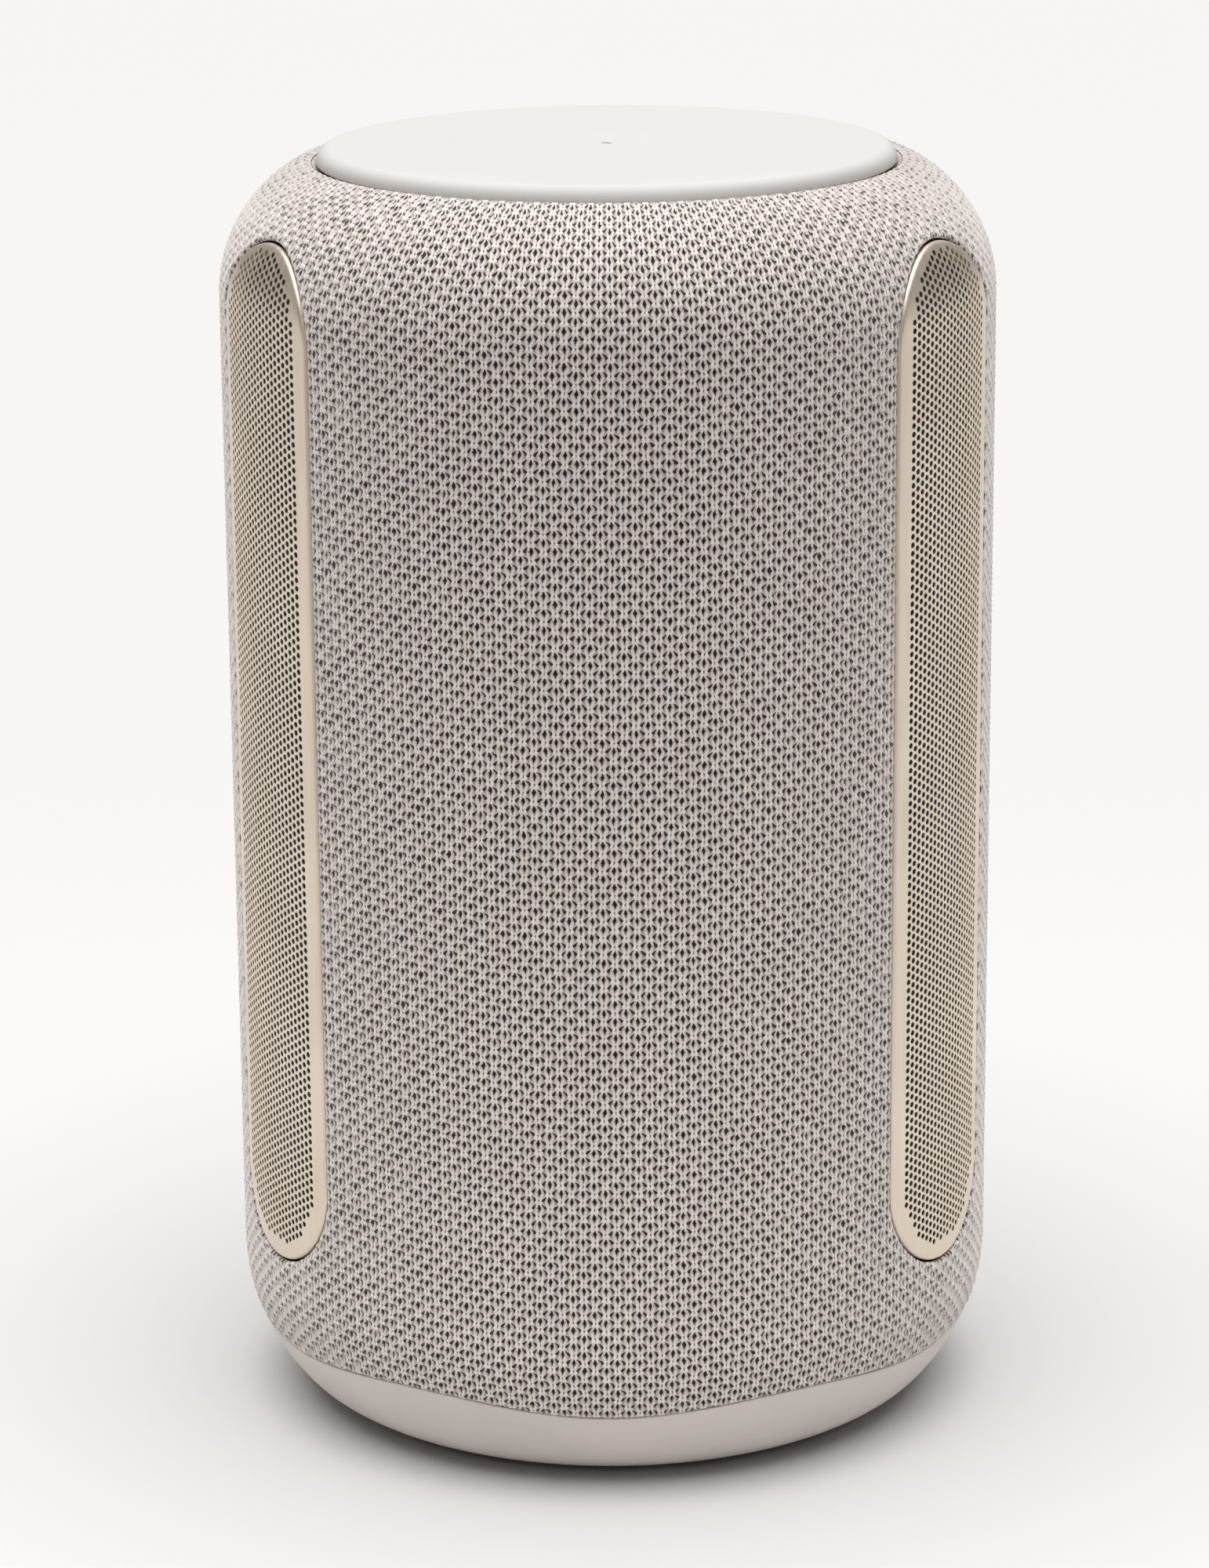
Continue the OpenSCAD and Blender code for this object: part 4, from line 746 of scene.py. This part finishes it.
def base_piece(material):
    """The moulded base: a bowl whose rim steps in under the wavy hem and runs on behind the knit."""
    around, tuck, seam, steps = 288, 5 * MM, 0.35 * MM, 28
    floor_in_r, lip, lip_inset = 44 * MM, 0.15 * MM, 1.05 * MM
    azimuth = np.arange(around) * TURN / around
    edge_angle = -math.acos((RECESS_R - BODY_R + BASE_TURN) / (BASE_CURVE_R - SKIN_INSET))
    floor_s = MEET_S + (edge_angle - MEET_ANGLE) * BASE_CURVE_R
    edge_z = profile(np.array(floor_s))[1] + SKIN_INSET
    hem_s = (hem_height(azimuth) - HEM_Z) / math.cos(HEM_ANGLE)
    rows = []
    for r, z in ((floor_in_r, FLOOR_Z), (RECESS_R, FLOOR_Z), (RECESS_R, edge_z + 0.5 * MM)):
        rows.append(np.stack([r * np.sin(azimuth), -r * np.cos(azimuth), z + 0 * azimuth], -1))
    for k in range(steps + 1):
        s = floor_s + (hem_s - seam - floor_s) * k / steps
        rows.append(skin(azimuth, s, SKIN_INSET))
    for extra, inset in ((lip, SKIN_INSET + lip), (lip, lip_inset), (tuck, lip_inset)):
        rows.append(skin(azimuth, hem_s - seam + extra, inset))
    points = np.stack(rows, 1).reshape(-1, 3)
    count = len(rows)
    i, j = (g.ravel() for g in np.meshgrid(np.arange(around), np.arange(count - 1), indexing="ij"))
    a, b = i * count + j, (i + 1) % around * count + j
    mesh = quad_mesh("base_bowl", points, np.stack([a, b, b + 1, a + 1], -1))
    piece = finish_piece("base_bowl", mesh, "root", material, 35)
    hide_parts("base_shell")


def top_disc(material):
    """The touch plate: nearly flat, with a crisp rounded rim and a window for the status light."""
    rim, thickness, steps = 2.8 * MM, 3.2 * MM, 12
    light_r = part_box("light_pipe")[1].x + 0.1 * MM
    drop = PLATE_HIGH.z - thickness
    outline = [(light_r, drop), (light_r, BODY_H - 0.1 * MM), (light_r + 0.1 * MM, BODY_H)]
    outline += [(r, BODY_H) for r in np.linspace(light_r, PLATE_R - rim, 8)[1:-1]]
    for k in range(steps + 1):
        angle = k / steps * math.pi / 2
        outline.append((PLATE_R - rim + rim * math.sin(angle), BODY_H - rim + rim * math.cos(angle)))
    outline += [(PLATE_R, drop + 0.3 * MM), (PLATE_R - 0.3 * MM, drop), (light_r, drop)]
    piece = lathe("touch_plate", outline[::-1], "root", material)
    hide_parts("top_plate")


# ---- finishes of the frame's own nodes ----

FINISHES = {
    "gold_metal": gold_material(),
    "top_plastic": moulded("top_satin", (0.64, 0.631, 0.611), 0.68, 3200, 0.004 * MM, cloud=0.008),
    "base_plastic": moulded("base_satin", (0.73, 0.665, 0.63), 0.40, 3200, 0.006 * MM),
    "trim_brown": moulded("trim_brown", (0.27, 0.19, 0.15), 0.5),
    "light_lens": moulded("light_lens", (0.62, 0.62, 0.61), 0.25, 1500, 0.002 * MM, Transmission_Weight=0.2),
    "dark_plastic": moulded("dark_plastic", (0.03, 0.03, 0.032), 0.55),
    "frame_plastic": moulded("frame_plastic", (0.022, 0.021, 0.021), 0.6),
    "cabinet_plastic": moulded("cabinet_plastic", (0.04, 0.04, 0.042), 0.5, 1400, 0.04 * MM),
    "panel_plastic": moulded("panel_plastic", (0.62, 0.59, 0.565), 0.45, 2200, 0.02 * MM),
    "socket_plastic": moulded("socket_plastic", (0.035, 0.035, 0.036), 0.4),
    "foot_rubber": moulded("foot_rubber", (0.09, 0.085, 0.082), 0.8, 1800, 0.05 * MM),
    "gasket_rubber": moulded("gasket_rubber", (0.06, 0.055, 0.05), 0.9, 700, 0.1 * MM),
    "surround_rubber": moulded("surround_rubber", (0.02, 0.02, 0.021), 0.55, 1200, 0.02 * MM),
    "cable_plastic": moulded("cable_plastic", (0.30, 0.29, 0.28), 0.5),
    "sound_cloth": cloth("sound_cloth", (0.012, 0.011, 0.011), 2200),
    "spider_cloth": cloth("spider_cloth", (0.55, 0.42, 0.18), 1500),
    "cone_paper": moulded("cone_paper", (0.045, 0.044, 0.043), 0.85, 420, 0.12 * MM),
    "basket_steel": metal("basket_steel", (0.16, 0.16, 0.165), 0.5),
    "bright_steel": metal("bright_steel", (0.62, 0.62, 0.63), 0.28, (1, 1, 0.1)),
    "ferrite": moulded("ferrite", (0.05, 0.05, 0.054), 0.5, 800, 0.06 * MM),
    "copper": metal("copper", (0.83, 0.42, 0.22), 0.3, (0.2, 0.2, 6), 400, 0.03 * MM),
    "dome_metal": metal("dome_metal", (0.70, 0.71, 0.73), 0.25),
    "heat_sink_metal": metal("heat_sink_metal", (0.50, 0.51, 0.53), 0.42, (1, 0.08, 1)),
    "circuit_board": circuit("circuit_board", rgba(0.012, 0.085, 0.04), rgba(0.05, 0.22, 0.09)),
    "board_parts": moulded("board_parts", (0.30, 0.25, 0.10), 0.4, 900, 0.03 * MM),
}
NODE_SLOTS = {part["node"]: part["material_slot"] for part in frame["record"]["subparts"]}


def finish_nodes():
    """Gives each node of the frame the finish of its slot."""
    for name, node in frame["nodes"].items():
        finish = FINISHES.get(NODE_SLOTS[name])
        if finish is None:
            continue
        node.data.materials.clear()
        node.data.materials.append(finish)


# ---- stage, light and camera ----

PAPER = (0.657, 0.651, 0.643)
SUN_POWER = 4.2
SUN_SPREAD = math.radians(73)
WORLD_POWER = 0.10
WALL_SEEN = 0.93
FRONT_POWER = 0.5
FRONT_PLACE = (0, -0.95, 0.35)
FRONT_TARGET = (0, -0.15, 0)
FRONT_SIZE = (1.6, 0.5)
FLOOR_REACH = 9.0
FLOOR_FRONT = -0.5
PAPER_PAINTED_LIGHT = 1.09


def front_fill():
    """A weak wide lamp in front, as a bounce card gives."""
    light = bpy.data.lights.new("front_fill", "AREA")
    light.shape = "RECTANGLE"
    light.size, light.size_y = FRONT_SIZE
    light.energy, light.color = FRONT_POWER, (1.0, 0.98, 0.96)
    lamp = bpy.data.objects.new("front_fill", light)
    lamp.location = FRONT_PLACE
    lamp.rotation_euler = (Vector(FRONT_TARGET) - Vector(FRONT_PLACE)).to_track_quat("-Z", "Y").to_euler()
    bpy.context.scene.collection.objects.link(lamp)


def studio():
    floor_mesh = bpy.data.meshes.new("floor")
    left, right, front, far = -FLOOR_REACH, FLOOR_REACH, FLOOR_FRONT, FLOOR_REACH
    corners = [(left, front, 0), (right, front, 0), (right, far, 0), (left, far, 0)]
    floor_mesh.from_pydata(corners, [], [(0, 1, 2, 3)])
    floor = bpy.data.objects.new("floor", floor_mesh)
    n = Nodes("floor_paper")
    depth = n.add("ShaderNodeSeparateXYZ", n.add("ShaderNodeTexCoord").outputs["Object"]).outputs[1]
    # Painted light: the paper is painted paler towards the front and close to the object, against the shade
    # the object casts on it.
    paper = n.blend(n.ramp(depth, -0.35, 0.5), shade(PAPER, PAPER_PAINTED_LIGHT), rgba(*PAPER))
    n.surface(Base_Color=paper, Roughness=0.9, Specular_IOR_Level=0.1)
    floor_mesh.materials.append(n.material)
    bpy.context.scene.collection.objects.link(floor)

    sun = bpy.data.lights.new("overhead_dome", "SUN")
    sun.energy, sun.angle = SUN_POWER, SUN_SPREAD
    lamp = bpy.data.objects.new("overhead_dome", sun)
    lamp.rotation_euler = (math.radians(3), 0, 0)
    bpy.context.scene.collection.objects.link(lamp)

    world = bpy.data.worlds.new("studio_walls")
    world.use_nodes = True
    tree = world.node_tree
    background = tree.nodes["Background"]
    background.inputs[0].default_value = (1.0, 0.995, 0.985, 1)
    # The walls are dim as lamps, and pale where they are seen past the floor's edge.
    seen = tree.nodes.new("ShaderNodeLightPath")
    power = tree.nodes.new("ShaderNodeMapRange")
    power.inputs["To Min"].default_value, power.inputs["To Max"].default_value = WORLD_POWER, WALL_SEEN
    tree.links.new(seen.outputs["Is Camera Ray"], power.inputs["Value"])
    tree.links.new(power.outputs[0], background.inputs[1])
    bpy.context.scene.world = world
    front_fill()

CAMERA_DISTANCE = 932.1 * MM
CAMERA_HEIGHT = 380.7 * MM
CAMERA_AZIMUTH = math.radians(1.25)
CAMERA_PITCH = math.radians(15.57)
CAMERA_YAW = math.radians(0.08)
CAMERA_ROLL = math.radians(-0.43)
CAMERA_LENS = 113.24


def camera():
    data = bpy.data.cameras.new("camera")
    data.lens, data.sensor_width = CAMERA_LENS, 36.0
    data.clip_start, data.clip_end = 0.05, 50
    view = bpy.data.objects.new("camera", data)
    view.location = (
        CAMERA_DISTANCE * math.sin(CAMERA_AZIMUTH),
        -CAMERA_DISTANCE * math.cos(CAMERA_AZIMUTH),
        CAMERA_HEIGHT,
    )
    view.rotation_mode = "XYZ"
    turn = Matrix.Rotation(CAMERA_AZIMUTH + CAMERA_YAW, 4, "Z")
    pitch = Matrix.Rotation(math.pi / 2 - CAMERA_PITCH, 4, "X")
    roll = Matrix.Rotation(CAMERA_ROLL, 4, "Z")
    view.rotation_euler = (turn @ pitch @ roll).to_euler("XYZ")
    bpy.context.scene.collection.objects.link(view)
    bpy.context.scene.camera = view


# ---- the object ----

knit_sleeve()
PATTERN = grille_pattern()
for name, side in (("left", -1), ("right", 1)):
    grille(f"perforated_grille_{name}", f"grille_{name}", side, PATTERN, FINISHES["gold_metal"])
base_piece(FINISHES["base_plastic"])
top_disc(FINISHES["top_plastic"])
finish_nodes()
studio()
camera()
bpy.context.scene.view_settings.view_transform = "Standard"
